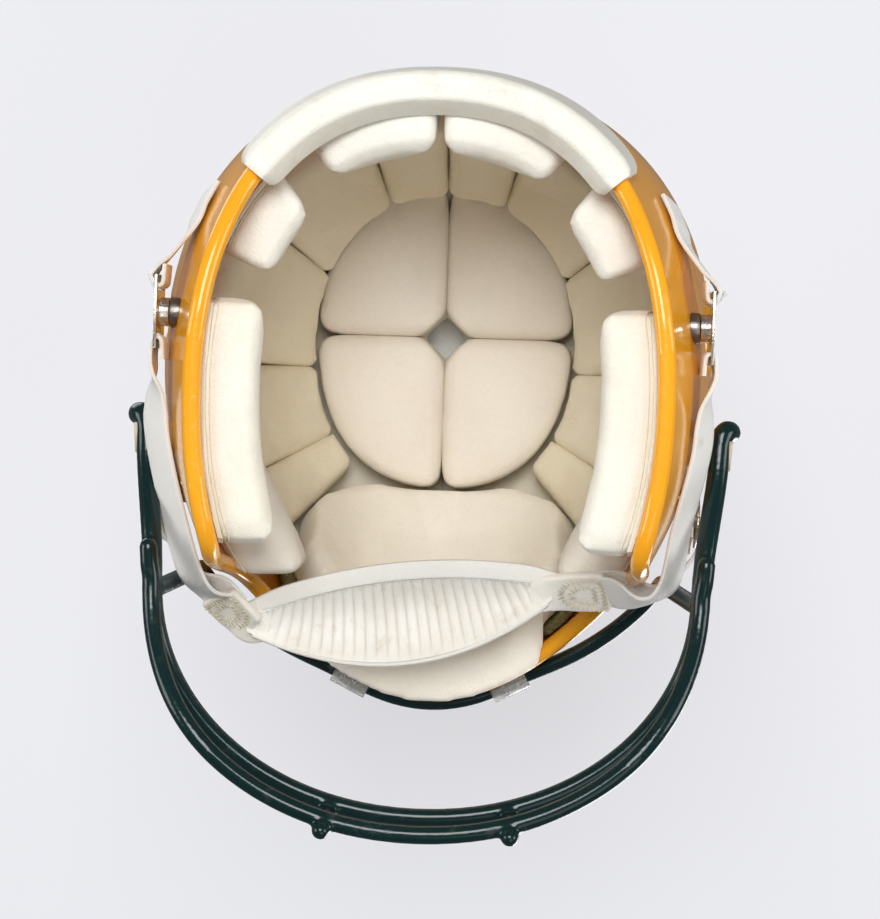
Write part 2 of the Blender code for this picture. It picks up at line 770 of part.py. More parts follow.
def jaw_bar_plan(forward):
    """Front half of a jaw bar in plan, from the left side to the right."""
    reach = MASK_FRONT_Y - forward - MASK_WAIST_Y
    points = []
    for i in range(MASK_STEPS + 1):
        turn = math.pi * i / MASK_STEPS
        x = MASK_HALF_WIDTH * signed_power(math.cos(turn), 2 / MASK_PLAN_POWER_SHARE)
        y = MASK_WAIST_Y + reach * abs(math.sin(turn)) ** (2 / MASK_PLAN_POWER_SHARE)
        points.append((x, y))
    return points


def upper_jaw_bar():
    """From the left rear end, forward and down, round the front and back to the right rear end."""
    front = [Vector((x, y, MASK_UPPER_Z)) for x, y in jaw_bar_plan(0.0)]
    length = MASK_WAIST_Y - MASK_REAR_Y
    side = []
    for share in MASK_SIDE_SHARES:
        x = blend(MASK_REAR_HALF_WIDTH, MASK_HALF_WIDTH, smooth_share(share))
        z = blend(MASK_REAR_Z, MASK_UPPER_Z, smooth_share(share))
        side.append(Vector((x, MASK_REAR_Y + length * share, z)))
    other = [Vector((-p.x, p.y, p.z)) for p in reversed(side)]
    return side + front + other


def lower_jaw_bar():
    """Below the upper bar at the front, rising to meet it at the sides."""
    points = []
    for x, y in jaw_bar_plan(MASK_LOWER_FORWARD):
        share = (y - MASK_WAIST_Y) / (MASK_FRONT_Y - MASK_LOWER_FORWARD - MASK_WAIST_Y)
        drop = smooth_share(share * LOWER_BAR_DROP_SHARE)
        z = blend(MASK_UPPER_Z - WIRE_RADIUS, MASK_LOWER_Z, drop)
        points.append(Vector((x, y, z)))
    return points


def brow_bar():
    """Across the forehead just above the brow edge, then down and back along the cheeks."""
    half = []
    for i in range(BROW_BAR_STEPS // 2 + 1):
        share = i / (BROW_BAR_STEPS // 2)
        fall = between_shares(share, BROW_BAR_FALL_SHARES)
        leave = between_shares(share, BROW_BAR_LEAVE_SHARES)
        z = blend(BROW_BAR_Z, BROW_BAR_END_Z, fall)
        start = surface_turn_front(z)
        turn = blend(math.pi, start, share)
        stand_off = blend(BROW_BAR_STAND_OFF, BROW_BAR_END_STAND_OFF, leave)
        half.append(surface_at(turn, z, stand_off))
    right = [Vector((-p.x, p.y, p.z)) for p in half[1:]]
    return list(reversed(half)) + right


def surface_turn_front(z):
    """The turn at which the surface reaches the brow bar's end."""
    low = math.pi / 2
    high = math.pi
    for _ in range(SEARCH_STEPS):
        middle = (low + high) / 2
        if surface_at(middle, z, 0.0).y > BROW_BAR_END_Y:
            low = middle
        else:
            high = middle
    return low


def place_on(path, axis, value):
    """The point of a bar where one coordinate has a value, and the bar's direction there."""
    for a, b in zip(path, path[1:]):
        low, high = sorted((a[axis], b[axis]))
        if low <= value <= high and low != high:
            share = (value - a[axis]) / (b[axis] - a[axis])
            return a.lerp(b, share), (b - a).normalized()
    return path[0], (path[1] - path[0]).normalized()


def make_mask():
    upper = upper_jaw_bar()
    lower = lower_jaw_bar()
    brow = brow_bar()
    mask = wire("facemask", upper, WIRE_RADIUS, "green_coating")
    boolean(mask, wire("lower", lower, WIRE_RADIUS, "green_coating"), "UNION")
    boolean(mask, wire("brow", brow, WIRE_RADIUS, "green_coating"), "UNION")
    sides = len(MASK_SIDE_SHARES)
    for _, side in SIDES:
        top, _ = place_on(upper[sides:-sides], 0, side * UPRIGHT_X)
        bottom, _ = place_on(lower, 0, side * UPRIGHT_X)
        behind = Vector((0, WIRE_RADIUS, 0))
        run = (bottom - top).normalized() * UPRIGHT_OVERRUN
        upright = wire("upright", [top - run - behind, bottom + run - behind], WIRE_RADIUS, "green_coating")
        boolean(mask, upright, "UNION")
        start = brow[0] if side == LEFT else brow[-1]
        end = Vector((side * MASK_HALF_WIDTH, SIDE_LINK_Y, MASK_UPPER_Z))
        link = wire("link", even_points([start, end], 2), WIRE_RADIUS, "green_coating")
        boolean(mask, link, "UNION")
    return upper, brow


# Small hardware

def frame_matrix(origin, out, up):
    """A frame whose X points out of the surface and whose Z is as near to up as it can be."""
    x = out.normalized()
    z = (up - x * up.dot(x)).normalized()
    y = z.cross(x)
    matrix = Matrix((x, y, z)).transposed().to_4x4()
    matrix.translation = origin
    return matrix


def turned(name, outline, sides, matrix, material_name):
    """A solid turned about its frame's X axis from (distance along, radius) points."""
    points = []
    for along, radius in outline:
        for k in range(sides):
            angle = 2 * math.pi * k / sides
            points.append(matrix @ Vector((along, radius * math.cos(angle), radius * math.sin(angle))))
    faces = ring_faces(outline, sides, False)
    return face_outwards(mesh_object(name, points, faces, material_name))


def stud_outline():
    return (
        (-STUD_BASE_RADIUS, STUD_BASE_RADIUS),
        (STUD_BASE_OUT - GAP, STUD_BASE_RADIUS),
        (STUD_BASE_OUT, STUD_BASE_RADIUS - GAP),
        (STUD_BASE_OUT, STUD_NECK_RADIUS),
        (STUD_NECK_OUT, STUD_NECK_RADIUS),
        (STUD_NECK_OUT + GAP, STUD_HEAD_RADIUS),
        (STUD_OUT - GAP, STUD_HEAD_RADIUS),
        (STUD_OUT, STUD_NECK_RADIUS),
    )


def stud_frame(side, y, z):
    """The frame of a chin-strap stud: it stands straight out sideways from the shell."""
    x = side_x(y, z, 0.0)
    return frame_matrix(Vector((side * x, y, z)), Vector((side, 0, 0)), Vector((0, 0, 1)))


def make_stud(name, side, y, z, outer_solid):
    stud = turned(name, stud_outline(), STUD_SIDES, stud_frame(side, y, z), "bright_metal")
    return trim_by(stud, outer_solid)


def box_between(name, low, high, matrix, material_name):
    points = []
    for z in (low[2], high[2]):
        for x, y in ((low[0], low[1]), (high[0], low[1]), (high[0], high[1]), (low[0], high[1])):
            points.append(matrix @ Vector((x, y, z)))
    faces = ring_faces((low, high), len(points) // 2, False)
    return face_outwards(mesh_object(name, points, faces, material_name))


def buckle_frame(side, y, z, lean):
    """A buckle's frame: it leans about its stud so that its forward end points down."""
    return stud_frame(side, y, z) @ Matrix.Rotation(side * lean, 4, "X")


def buckle_level():
    """Distance of the buckle plate's underside from the stud's seat."""
    return STUD_OUT + SNAP_CLEARANCE + SNAP_WALL - BUCKLE_PLATE / 2


def buckle_exit(side, y, z, lean, forward):
    """Where a web runs into a buckle's slot, at its forward or its rear end."""
    reach = (BUCKLE_LENGTH / 2 - BUCKLE_BAR) * forward
    return buckle_frame(side, y, z, lean) @ Vector((buckle_level() + BUCKLE_PLATE / 2, -side * reach, 0))


def trim_at_buckle(web, side, y, z, lean):
    """Cut a web off square, a clearance away from its buckle."""
    half_length = BUCKLE_LENGTH / 2 + GAP
    half_width = BUCKLE_WIDTH / 2 + GAP
    block = box_between("block", (0, -half_length, -half_width), (CUT_OVERRUN, half_length, half_width),
                        buckle_frame(side, y, z, lean), "white_web")
    return boolean(web, block, "DIFFERENCE")


def make_buckle(name, side, y, z, lean):
    """A slotted plate with the snap's cup under its middle bridge, turned by an angle about the stud."""
    matrix = buckle_frame(side, y, z, lean)
    start = STUD_BASE_OUT + GAP
    top = STUD_OUT + SNAP_CLEARANCE
    cup = turned(name, ((start, SNAP_RADIUS), (top + SNAP_WALL, SNAP_RADIUS)), STUD_SIDES, matrix,
                 "bright_metal")
    bore = turned("bore", ((start - SNAP_WALL, STUD_HEAD_RADIUS + SNAP_CLEARANCE),
                           (top, STUD_HEAD_RADIUS + SNAP_CLEARANCE)), STUD_SIDES, matrix, "bright_metal")
    half_length = BUCKLE_LENGTH / 2
    half_width = BUCKLE_WIDTH / 2
    low = buckle_level()
    plate = box_between("plate", (low, -half_length, -half_width),
                        (low + BUCKLE_PLATE, half_length, half_width), matrix, "bright_metal")
    for direction in (-1, 1):
        outer = half_length - BUCKLE_BAR
        inner = outer - BUCKLE_SLOT
        ends = sorted((direction * inner, direction * outer))
        slot = box_between("slot", (low - BUCKLE_PLATE, ends[0], -half_width + BUCKLE_BAR),
                           (low + 2 * BUCKLE_PLATE, ends[1], half_width - BUCKLE_BAR), matrix,
                           "bright_metal")
        boolean(plate, slot, "DIFFERENCE")
    boolean(cup, plate, "UNION")
    return boolean(cup, bore, "DIFFERENCE")


# Mask clips

def clip_outline(bar_out):
    """A loop round the bar with a tab that runs up the shell: points are (out, up)."""
    inner = WIRE_RADIUS + GAP
    outer = inner + CLIP_WALL
    tab = CLIP_TAB_THICKNESS
    points = []
    if bar_out - outer < tab:
        start = math.acos(max(min((tab - bar_out) / outer, 1.0), -1.0))
        end = math.pi
    else:
        start = math.pi - math.asin(CLIP_WALL / outer)
        end = start
    for k in range(CLIP_SEGMENTS + 1):
        angle = start - (start + end) * k / CLIP_SEGMENTS
        points.append((bar_out + outer * math.cos(angle), outer * math.sin(angle)))
    if end == start:
        points.append((-outer, -CLIP_WALL))
    points.append((-outer, CLIP_TAB_LENGTH))
    points.append((tab, CLIP_TAB_LENGTH))
    if end == start:
        points.append((tab, CLIP_WALL))
    return points


def make_clip(name, bar_path, bar_point, bar_direction, width, material_name, outer_solid):
    """A plastic clip: a loop round the bar, and a tab up the shell with a hole for its screw."""
    out = surface_normal(bar_point, 0.0)
    out = (out - bar_direction * out.dot(bar_direction)).normalized()
    up = out.cross(bar_direction).normalized()
    if up.z < 0:
        up = -up
    across = out.cross(up).normalized()
    bar_out = surface_distance(bar_point, out)
    foot = bar_point - out * bar_out
    outline = clip_outline(bar_out)
    points = []
    for end in (-1, 1):
        points += [foot + out * o + up * u + across * (width / 2 * end) for o, u in outline]
    faces = ring_faces((0, 1), len(outline), False)
    clip = face_outwards(mesh_object(name, points, faces, material_name))
    boolean(clip, wire("bore", bar_path, WIRE_RADIUS + GAP, material_name), "DIFFERENCE")
    seat = foot + out * CLIP_TAB_THICKNESS + up * (CLIP_TAB_LENGTH - SCREW_HEAD_RADIUS - CLIP_WALL)
    run = out * CUT_OVERRUN / 2
    hole = cylinder_between("hole", seat - run, seat + run, SCREW_SHANK_RADIUS + GAP, SCREW_SIDES,
                            material_name)
    boolean(clip, hole, "DIFFERENCE")
    trim_by(clip, outer_solid)
    return seat, out


def surface_distance(point, out):
    """How far a point lies outside the outer surface, along a direction."""
    low = 0.0
    high = CUT_OVERRUN
    for _ in range(SEARCH_STEPS):
        middle = (low + high) / 2
        if inside_value(point - out * middle, 0.0) < 1:
            high = middle
        else:
            low = middle
    return high


def make_clips(upper, brow, outer_solid):
    """The clips that hold the mask on the shell, two on the brow and one on each side, with screws."""
    for side_name, side in SIDES:
        bar, along = place_on(brow, 0, side * BROW_CLIP_X)
        seat, out = make_clip(f"brow_clip_{side_name}", brow, bar, along, CLIP_WIDTH_BROW,
                              "clear_plastic", outer_solid)
        make_screw(f"brow_screw_{side_name}", seat, out, outer_solid)
        bar, along = place_on([p for p in upper if p.x * side > 0], 1, SIDE_CLIP_Y)
        seat, out = make_clip(f"side_clip_{side_name}", upper, bar, along, CLIP_WIDTH_SIDE,
                              "tan_plastic", outer_solid)
        make_screw(f"side_screw_{side_name}", seat, out, outer_solid)


def make_screw(name, seat, out, outer_solid):
    """A truss-head screw with a slot, on a tab."""
    matrix = frame_matrix(seat, out, Vector((0, 0, 1)))
    outline = (
        (-CLIP_TAB_THICKNESS + GAP, SCREW_SHANK_RADIUS),
        (GAP, SCREW_SHANK_RADIUS),
        (GAP, SCREW_HEAD_RADIUS),
        (GAP + SCREW_HEAD_HEIGHT * SCREW_WALL_SHARE, SCREW_HEAD_RADIUS),
        (GAP + SCREW_HEAD_HEIGHT, SCREW_HEAD_RADIUS * SCREW_TOP_SHARE),
    )
    screw = turned(name, outline, SCREW_SIDES, matrix, "bright_metal")
    top = GAP + SCREW_HEAD_HEIGHT
    slot = box_between("slot", (top - SCREW_SLOT_DEPTH, -SCREW_HEAD_RADIUS * 2, -SCREW_SLOT_WIDTH / 2),
                       (top + SCREW_SLOT_DEPTH, SCREW_HEAD_RADIUS * 2, SCREW_SLOT_WIDTH / 2), matrix,
                       "bright_metal")
    boolean(screw, slot, "DIFFERENCE")
    return trim_by(screw, outer_solid)


# Pads

def rounded_polygon(corners, radii, arc_steps):
    """A closed outline through corners, each rounded by its own radius."""
    result = []
    count = len(corners)
    for i in range(count):
        corner = Vector(corners[i])
        before = (Vector(corners[i - 1]) - corner)
        after = (Vector(corners[(i + 1) % count]) - corner)
        reach = min(radii[i], before.length * CORNER_REACH_SHARE, after.length * CORNER_REACH_SHARE)
        start = corner + before.normalized() * reach
        end = corner + after.normalized() * reach
        for k in range(arc_steps + 1):
            t = k / arc_steps
            result.append((1 - t) ** 2 * start + 2 * t * (1 - t) * corner + t * t * end)
    return result


def inset_outline(outline, distance):
    """The outline drawn in by a distance, towards its inside."""
    count = len(outline)
    area = sum(outline[i - 1].x * outline[i].y - outline[i].x * outline[i - 1].y for i in range(count))
    turn = 1 if area > 0 else -1
    result = []
    for i in range(count):
        before = (outline[i] - outline[i - 1])
        after = (outline[(i + 1) % count] - outline[i])
        if before.length == 0:
            before = after
        if after.length == 0:
            after = before
        normal_a = Vector((-before.y, before.x)).normalized() * turn
        normal_b = Vector((-after.y, after.x)).normalized() * turn
        normal = (normal_a + normal_b)
        if normal.length == 0:
            normal = normal_a
        result.append(outline[i] + normal.normalized() * distance)
    return result


def pad(name, outline, place, thickness, material_name, crown=PAD_CROWN, round_edge=PAD_EDGE_ROUND):
    """A cushion on a curved seat: its back lies on the seat, its sides draw in and its face is crowned.

    outline is a closed curve in the seat's own plane of lengths, and place(u, v, depth) gives the point
    that lies at a depth in front of the seat.
    """
    edge = min(round_edge, thickness / 2)
    levels = (
        (0.0, edge * PAD_BACK_SHARE),
        (edge * PAD_BULGE_SHARE, 0.0),
        (thickness - edge, edge * PAD_DRAW_SHARE),
        (thickness, edge),
    )
    centre = sum(outline, Vector((0.0, 0.0))) / len(outline)
    rings = []
    for depth, inset in levels:
        rings.append([place(p.x, p.y, depth) for p in inset_outline(outline, inset)])
    inner = [centre.lerp(p, PAD_FACE_SHARE) for p in inset_outline(outline, edge)]
    rings.append([place(p.x, p.y, thickness + crown * PAD_CROWN_SHARE) for p in inner])
    return closed_rings(name, rings, place(centre.x, centre.y, 0.0),
                        place(centre.x, centre.y, thickness + crown), material_name)


def closed_rings(name, rings, first, last, material_name):
    """A solid through rings of points, closed to a middle point at each end."""
    sides = len(rings[0])
    points = [p for ring in rings for p in ring]
    faces = ring_faces(rings, sides, False)
    faces.pop()
    faces.pop()
    points += [first, last]
    final = (len(rings) - 1) * sides
    for k in range(sides):
        after = (k + 1) % sides
        faces.append((after, k, len(points) - 2))
        faces.append((final + k, final + after, len(points) - 1))
    return face_outwards(mesh_object(name, points, faces, material_name))


def wall_place(stand_off):
    """Places for pads seated on a side wall: u is y, v is z and the depth runs sideways."""
    def place(u, v, depth):
        x = side_x(u, v, -SHELL_WALL)
        return Vector((x - stand_off - depth, u, v))
    return place


def ring_place(stand_off, centre_y, turn_scale):
    """Places for pads seated round the neck: u is a turn times a scale and v is z."""
    def place(u, v, depth):
        turn = u / turn_scale
        direction = Vector((math.sin(turn), math.cos(turn), 0.0))
        origin = Vector((0.0, centre_y, v))
        reach = surface_along(origin, direction, -SHELL_WALL)
        return origin + direction * (reach - stand_off - depth)
    return place


def mirrored_place(place, side):
    def mirrored(u, v, depth):
        point = place(u, v, depth)
        return Vector((point.x * side, point.y, point.z))
    return mirrored


def crown_levels(u, v):
    """Heights of the crown pads' backs, under the liner's base, and of their faces."""
    inside = surface_along(Vector((u, v, WIDEST_Z)), Vector((0, 0, 1)), -SHELL_WALL) + WIDEST_Z
    seat = inside - PAD_SEAT - LINER_THICKNESS
    return seat, min(CROWN_PAD_FACE_Z, seat - CROWN_PAD_LEAST)


def crown_place(u, v, depth):
    """Places for the crown pads: u and v are x and y, and the face is level but for the rear end."""
    share = min(depth / CROWN_PAD_THICKNESS, 1.0)
    seat, face = crown_levels(u, v)
    level = blend(seat, face, share)
    return Vector((u, v, level - max(depth - CROWN_PAD_THICKNESS, 0.0)))


def quarter_outline(side, end):
    """One of the four crown pads in plan: a quarter of an oval with rounded corners."""
    seam = CROWN_PAD_SEAM / 2
    points = []
    start = Vector((seam, seam))
    oval = []
    for k in range(CROWN_ARC_STEPS + 1):
        angle = math.pi / 2 * k / CROWN_ARC_STEPS
        x = max(CROWN_PADS_HALF_WIDTH * max(math.cos(angle), 0.0) ** CROWN_OVAL_SHARE, seam)
        y = max(CROWN_PADS_HALF_LENGTH * math.sin(angle) ** CROWN_OVAL_SHARE, seam)
        oval.append(Vector((x, y)))
    corners = [start] + oval
    radii = [CROWN_PAD_INNER_CORNER] + [CROWN_PAD_CORNER] + [0.0] * (len(oval) - 2) + [CROWN_PAD_CORNER]
    rounded = []
    count = len(corners)
    for i in range(count):
        corner = corners[i]
        if radii[i] == 0.0:
            rounded.append(corner)
            continue
        before = corners[i - 1] - corner
        after = corners[(i + 1) % count] - corner
        start_reach = min(radii[i], before.length * CORNER_REACH_SHARE)
        end_reach = min(radii[i], after.length * CORNER_REACH_SHARE)
        a = corner + before.normalized() * start_reach
        b = corner + after.normalized() * end_reach
        for k in range(CORNER_STEPS + 1):
            t = k / CORNER_STEPS
            rounded.append((1 - t) ** 2 * a + 2 * t * (1 - t) * corner + t * t * b)
    for p in rounded:
        points.append(Vector((p.x * side, CROWN_PADS_Y + p.y * end)))
    return points


def base_place(u, v, depth):
    """Places for the crown liner's base, which follows the inside of the dome."""
    start = Vector((u, v, WIDEST_Z))
    top = surface_along(start, Vector((0, 0, 1)), -SHELL_WALL) + WIDEST_Z - PAD_SEAT
    return Vector((u, v, top - depth))


def make_crown():
    outline = []
    for k in range(CROWN_BASE_SIDES):
        angle = 2 * math.pi * k / CROWN_BASE_SIDES
        outline.append(Vector(((CROWN_PADS_HALF_WIDTH - CROWN_BASE_MARGIN) * math.cos(angle),
                               CROWN_PADS_Y + (CROWN_PADS_HALF_LENGTH - CROWN_BASE_MARGIN)
                               * math.sin(angle))))
    plate("crown_base", outline, base_place, LINER_THICKNESS, "grey_liner")
    clearance_base = plate("clearance_base", inset_outline(outline, -GAP), base_place,
                           LINER_THICKNESS + GAP, "grey_liner")
    for side_name, side in SIDES:
        for end_name, end in (("rear", 1), ("front", -1)):
            cushion = pad(f"crown_pad_{end_name}_{side_name}", quarter_outline(side, end), crown_place,
                          CROWN_PAD_THICKNESS, "cream_pad", crown=PAD_CROWN * CROWN_FACE_SHARE)
            trim_by(cushion, clearance_base)
    bpy.data.objects.remove(clearance_base)


def plate(name, outline, place, thickness, material_name):
    """A thin sheet on a curved seat."""
    centre = sum(outline, Vector((0.0, 0.0))) / len(outline)
    rings = []
    for depth, shares in ((0.0, (PAD_FACE_SHARE, 1.0)), (thickness, (1.0, PAD_FACE_SHARE))):
        for share in shares:
            spread = [centre.lerp(p, share) for p in outline]
            rings.append([place(p.x, p.y, depth) for p in spread])
    return closed_rings(name, rings, place(centre.x, centre.y, 0.0), place(centre.x, centre.y, thickness),
                        material_name)


def box_outline(u_low, u_high, v_low, v_high, corner, steps):
    """A rectangle with rounded corners and points along its long sides."""
    corners = [(u_low, v_low), (u_high, v_low), (u_high, v_high), (u_low, v_high)]
    rounded = rounded_polygon(corners, [corner] * len(corners), BOX_CORNER_STEPS)
    result = []
    count = len(rounded)
    for i in range(count):
        a = rounded[i]
        b = rounded[(i + 1) % count]
        result.append(a)
        if i % (BOX_CORNER_STEPS + 1) == BOX_CORNER_STEPS:
            for k in range(1, steps):
                result.append(a.lerp(b, k / steps))
    return result


def crown_reach(turn):
    """How far the crown pads' oval reaches from the head's centre, in plan, along a turn."""
    power = 2 / CROWN_OVAL_SHARE
    near = 0.0
    far = FRONT_REACH_WIDE
    for _ in range(SEARCH_STEPS):
        middle = (near + far) / 2
        across = middle * math.sin(turn) / CROWN_PADS_HALF_WIDTH
        along = (HEAD_CENTRE.y + middle * math.cos(turn) - CROWN_PADS_Y) / CROWN_PADS_HALF_LENGTH
        if abs(across) ** power + abs(along) ** power < 1:
            near = middle
        else:
            far = middle
    return near


def cell_place(u, v, depth):
    """Places for the liner cells: u is a turn and v runs down from the crown pads' edge."""
    turn = u / HALF_WIDTH_WIDE
    plan = crown_reach(turn)
    seat, face = crown_levels(plan * math.sin(turn), HEAD_CENTRE.y + plan * math.cos(turn))
    edge_z = blend(face, seat, PAD_EDGE_ROUND / CROWN_PAD_THICKNESS)
    top = math.atan2(plan + CELL_TOP_GAP, edge_z - HEAD_CENTRE.z)
    tilt = blend(top, CELL_BOTTOM, v / CELL_HEIGHT)
    direction = Vector((math.sin(tilt) * math.sin(turn), math.sin(tilt) * math.cos(turn), math.cos(tilt)))
    reach = surface_along(HEAD_CENTRE, direction, -SHELL_WALL)
    return HEAD_CENTRE + direction * (reach - PAD_SEAT - depth)


def make_cells():
    for side_name, side in SIDES:
        for i, name in enumerate(CELL_NAMES):
            low = CELL_BOUNDS[i] * HALF_WIDTH_WIDE + CELL_GAP / 2
            high = CELL_BOUNDS[i + 1] * HALF_WIDTH_WIDE - CELL_GAP / 2
            outline = box_outline(low, high, 0.0, CELL_HEIGHT, CELL_CORNER, SHORT_SIDE_STEPS)
            pad(f"{name}_{side_name}", outline, mirrored_place(cell_place, side), CELL_THICKNESS,
                "cream_pad", round_edge=CELL_EDGE_ROUND)


def forehead_place(stand_off, lip_out):
    """Places for the forehead pad: u and v are shares on a plane across its middle direction."""
    facing = Vector((0.0, -math.sin(FOREHEAD_TILT), math.cos(FOREHEAD_TILT)))
    up = Vector((0.0, math.cos(FOREHEAD_TILT), math.sin(FOREHEAD_TILT)))

    def place(u, v, depth):
        scale = FRONT_REACH_WIDE
        direction = (facing + Vector((1, 0, 0)) * (u / scale) + up * (v / scale)).normalized()
        reach = surface_along(HEAD_CENTRE, direction, -SHELL_WALL)
        lip = smooth_share((v / scale - FOREHEAD_LIP_FROM_SHARE)
                           / (FOREHEAD_LIP_TO_SHARE - FOREHEAD_LIP_FROM_SHARE))
        return HEAD_CENTRE + direction * (reach - PAD_SEAT - blend(stand_off, -lip_out, lip) - depth)
    return place


def share_outline(shares, corner, pieces):
    """A rounded outline from a table of shares, with points along its long sides."""
    corners = [(u * FRONT_REACH_WIDE, v * FRONT_REACH_WIDE) for u, v in shares]
    rounded = rounded_polygon(corners, [corner] * len(corners), 1)
    result = []
    for a, b in zip(rounded, rounded[1:] + rounded[:1]):
        count = pieces if (b - a).length > 2 * corner else 1
        for k in range(count):
            result.append(a.lerp(b, k / count))
    return result


def make_forehead(clearance_shell):
    backing = share_outline(FOREHEAD_BACKING_SHARES, PAD_CORNER, LONG_SIDE_STEPS)
    plate("forehead_backing", backing, forehead_place(0.0, 0.0), FOREHEAD_BACKING, "olive_foam")
    outline = share_outline(FOREHEAD_SHARES, PAD_CORNER, SHORT_SIDE_STEPS)
    place = forehead_place(FOREHEAD_BACKING + PAD_SEAT + 2 * GAP, FOREHEAD_LIP_OUT)
    forehead = pad("forehead_pad", outline, place, FOREHEAD_THICKNESS, "cream_pad",
                   round_edge=FOREHEAD_EDGE_ROUND)
    trim_by(forehead, clearance_shell)


def add_spacer(backing, foot, direction):
    """Join a round spacer to a backing, standing on the inside of the shell."""
    run = direction * CUT_OVERRUN / 2
    spacer = cylinder_between("spacer", foot, foot + run, SPACER_RADIUS, STUD_SIDES, "bright_metal")
    boolean(spacer, dome_solid("inner_solid", -SHELL_WALL - GAP, "yellow_shell"), "INTERSECT")
    boolean(backing, spacer, "UNION")


def make_jaw_pads():
    for side_name, side in SIDES:
        outline = box_outline(JAW_PAD_FRONT_Y, JAW_PAD_REAR_Y, JAW_PAD_LOW_Z, JAW_PAD_HIGH_Z, PAD_CORNER,
                              LONG_SIDE_STEPS)
        place = mirrored_place(wall_place(JAW_PAD_STAND_OFF), side)
        backing = plate(f"jaw_backing_{side_name}", outline, place, JAW_BACKING, "white_vinyl")
        for y in JAW_SPACER_Y:
            add_spacer(backing, place(y, JAW_SPACER_Z, JAW_BACKING / 2), Vector((side, 0, 0)))
        place = mirrored_place(wall_place(JAW_PAD_STAND_OFF + JAW_BACKING + 2 * GAP), side)
        pad(f"jaw_pad_{side_name}", outline, place, JAW_PAD_THICKNESS, "cream_pad", crown=PAD_CROWN)


def make_temple_pads(clearance_shell):
    for side_name, side in SIDES:
        outline = box_outline(TEMPLE_FRONT_Y, TEMPLE_REAR_Y, TEMPLE_LOW_Z, TEMPLE_HIGH_Z,
                              PAD_EDGE_ROUND, SHORT_SIDE_STEPS)
        place = mirrored_place(wall_place(PAD_SEAT), side)
        cushion = pad(f"temple_pad_{side_name}", outline, place, TEMPLE_THICKNESS, "cream_pad")
        trim_by(cushion, clearance_shell)


def make_neck_pads():
    scale = HALF_WIDTH_WIDE
    for side_name, side in SIDES:
        outline = box_outline(NAPE_SEAM * scale, NAPE_HALF_SPAN * scale, NECK_PAD_LOW_Z, NECK_PAD_HIGH_Z,
                              PAD_EDGE_ROUND, LONG_SIDE_STEPS)
        place = mirrored_place(ring_place(PAD_SEAT, CENTRE_Y_WIDE, scale), side)
        pad(f"nape_pad_{side_name}", outline, place, NAPE_THICKNESS, "cream_pad")
        outline = box_outline(NECK_SIDE_FROM * scale, NECK_SIDE_TO * scale, NECK_PAD_LOW_Z,
                              NECK_PAD_HIGH_Z, PAD_EDGE_ROUND, SHORT_SIDE_STEPS)
        place = mirrored_place(ring_place(NECK_STAND_OFF, CENTRE_Y_WIDE, scale), side)
        backing = plate(f"neck_backing_{side_name}", outline, place, NECK_BACKING, "white_vinyl")
        middle = (NECK_SIDE_FROM + NECK_SIDE_TO) / 2
        foot = place(middle * scale, (NECK_PAD_LOW_Z + NECK_PAD_HIGH_Z) / 2, NECK_BACKING / 2)
        add_spacer(backing, foot, Vector((side * math.sin(middle), math.cos(middle), 0)))
        cushion_seat = NECK_STAND_OFF + NECK_BACKING + 2 * GAP
        place = mirrored_place(ring_place(cushion_seat, CENTRE_Y_WIDE, scale), side)
        pad(f"neck_side_pad_{side_name}", outline, place, NECK_SIDE_THICKNESS, "cream_pad")


# Chin cup and straps

def cup_frame():
    matrix = Matrix.Rotation(-CUP_TURN, 4, "Z")
    matrix.translation = Vector((CUP_X, CUP_Y, CUP_Z))
    return matrix


def cup_height(u, v):
    """Height of the cup's inner surface above its rim, for shares of its half width and half depth."""
    return CUP_DOME * (1 - u * u) ** CUP_LENGTH_POWER_SHARE * (1 - CUP_CROSS_SHARE * v * v)


def cup_point(u, v, lift):
    """A point of the cup at shares of its half width and half depth, lifted off the inner surface."""
    width = CUP_HALF_WIDTH * u
    depth = CUP_HALF_DEPTH * v * (1 - CUP_POINT_SHARE * u * u)
    return cup_frame() @ Vector((width, depth, cup_height(u, v) + lift))


def cup_layer(name, low_lift, high_lift, material_name, ribs, rib_height):
    """A layer of the cup between two lifts; ribs run across its lower face."""
    columns = max(ribs * 2, CUP_SHELL_COLUMNS)
    low = []
    high = []
    for i in range(columns + 1):
        u = -1 + 2 * i / columns
        wave = rib_height * abs(math.sin(math.pi * ribs * i / columns)) ** CUP_RIB_POWER_SHARE
        low_row = []
        high_row = []
        for k in range(CUP_ROWS + 1):
            v = -1 + 2 * k / CUP_ROWS
            fade = 1 - abs(v) ** CUP_RIB_FADE_SHARE
            low_row.append(cup_point(u, v, low_lift - wave * fade))
            high_row.append(cup_point(u, v, high_lift))
        low.append(low_row)
        high.append(high_row)
    rings = []
    for low_row, high_row in zip(low, high):
        rings.append(low_row + list(reversed(high_row)))
    sides = len(rings[0])
    points = [p for ring in rings for p in ring]
    return face_outwards(mesh_object(name, points, ring_faces(rings, sides, False), material_name))


def make_cup():
    cup_layer("chin_cup_liner", 0.0, CUP_LINER, "white_vinyl", CUP_RIBS, CUP_RIB_HEIGHT)
    seat = CUP_LINER + CUP_SEAM
    cup_layer("chin_cup_shell", seat, seat + CUP_WALL, "white_vinyl", 0, 0.0)


def strap(name, path, outs, width=STRAP_WIDTH, thickness=STRAP_THICKNESS, material_name="white_web"):
    """A flat web along a path; outs are the directions that its face looks along it."""
    along = directions(path)
    sections = []
    for d, out in zip(along, outs):
        face = (out - d * out.dot(d)).normalized()
        across = d.cross(face)
        offsets = []
        for a, f in STRAP_SECTION_SHARES:
            offsets.append(across * (width * a) + face * (thickness * f))
        sections.append(offsets)
    return sweep(name, path, sections, material_name)


def on_shell(side, y, z, stand_off):
    return Vector((side * side_x(y, z, stand_off), y, z))


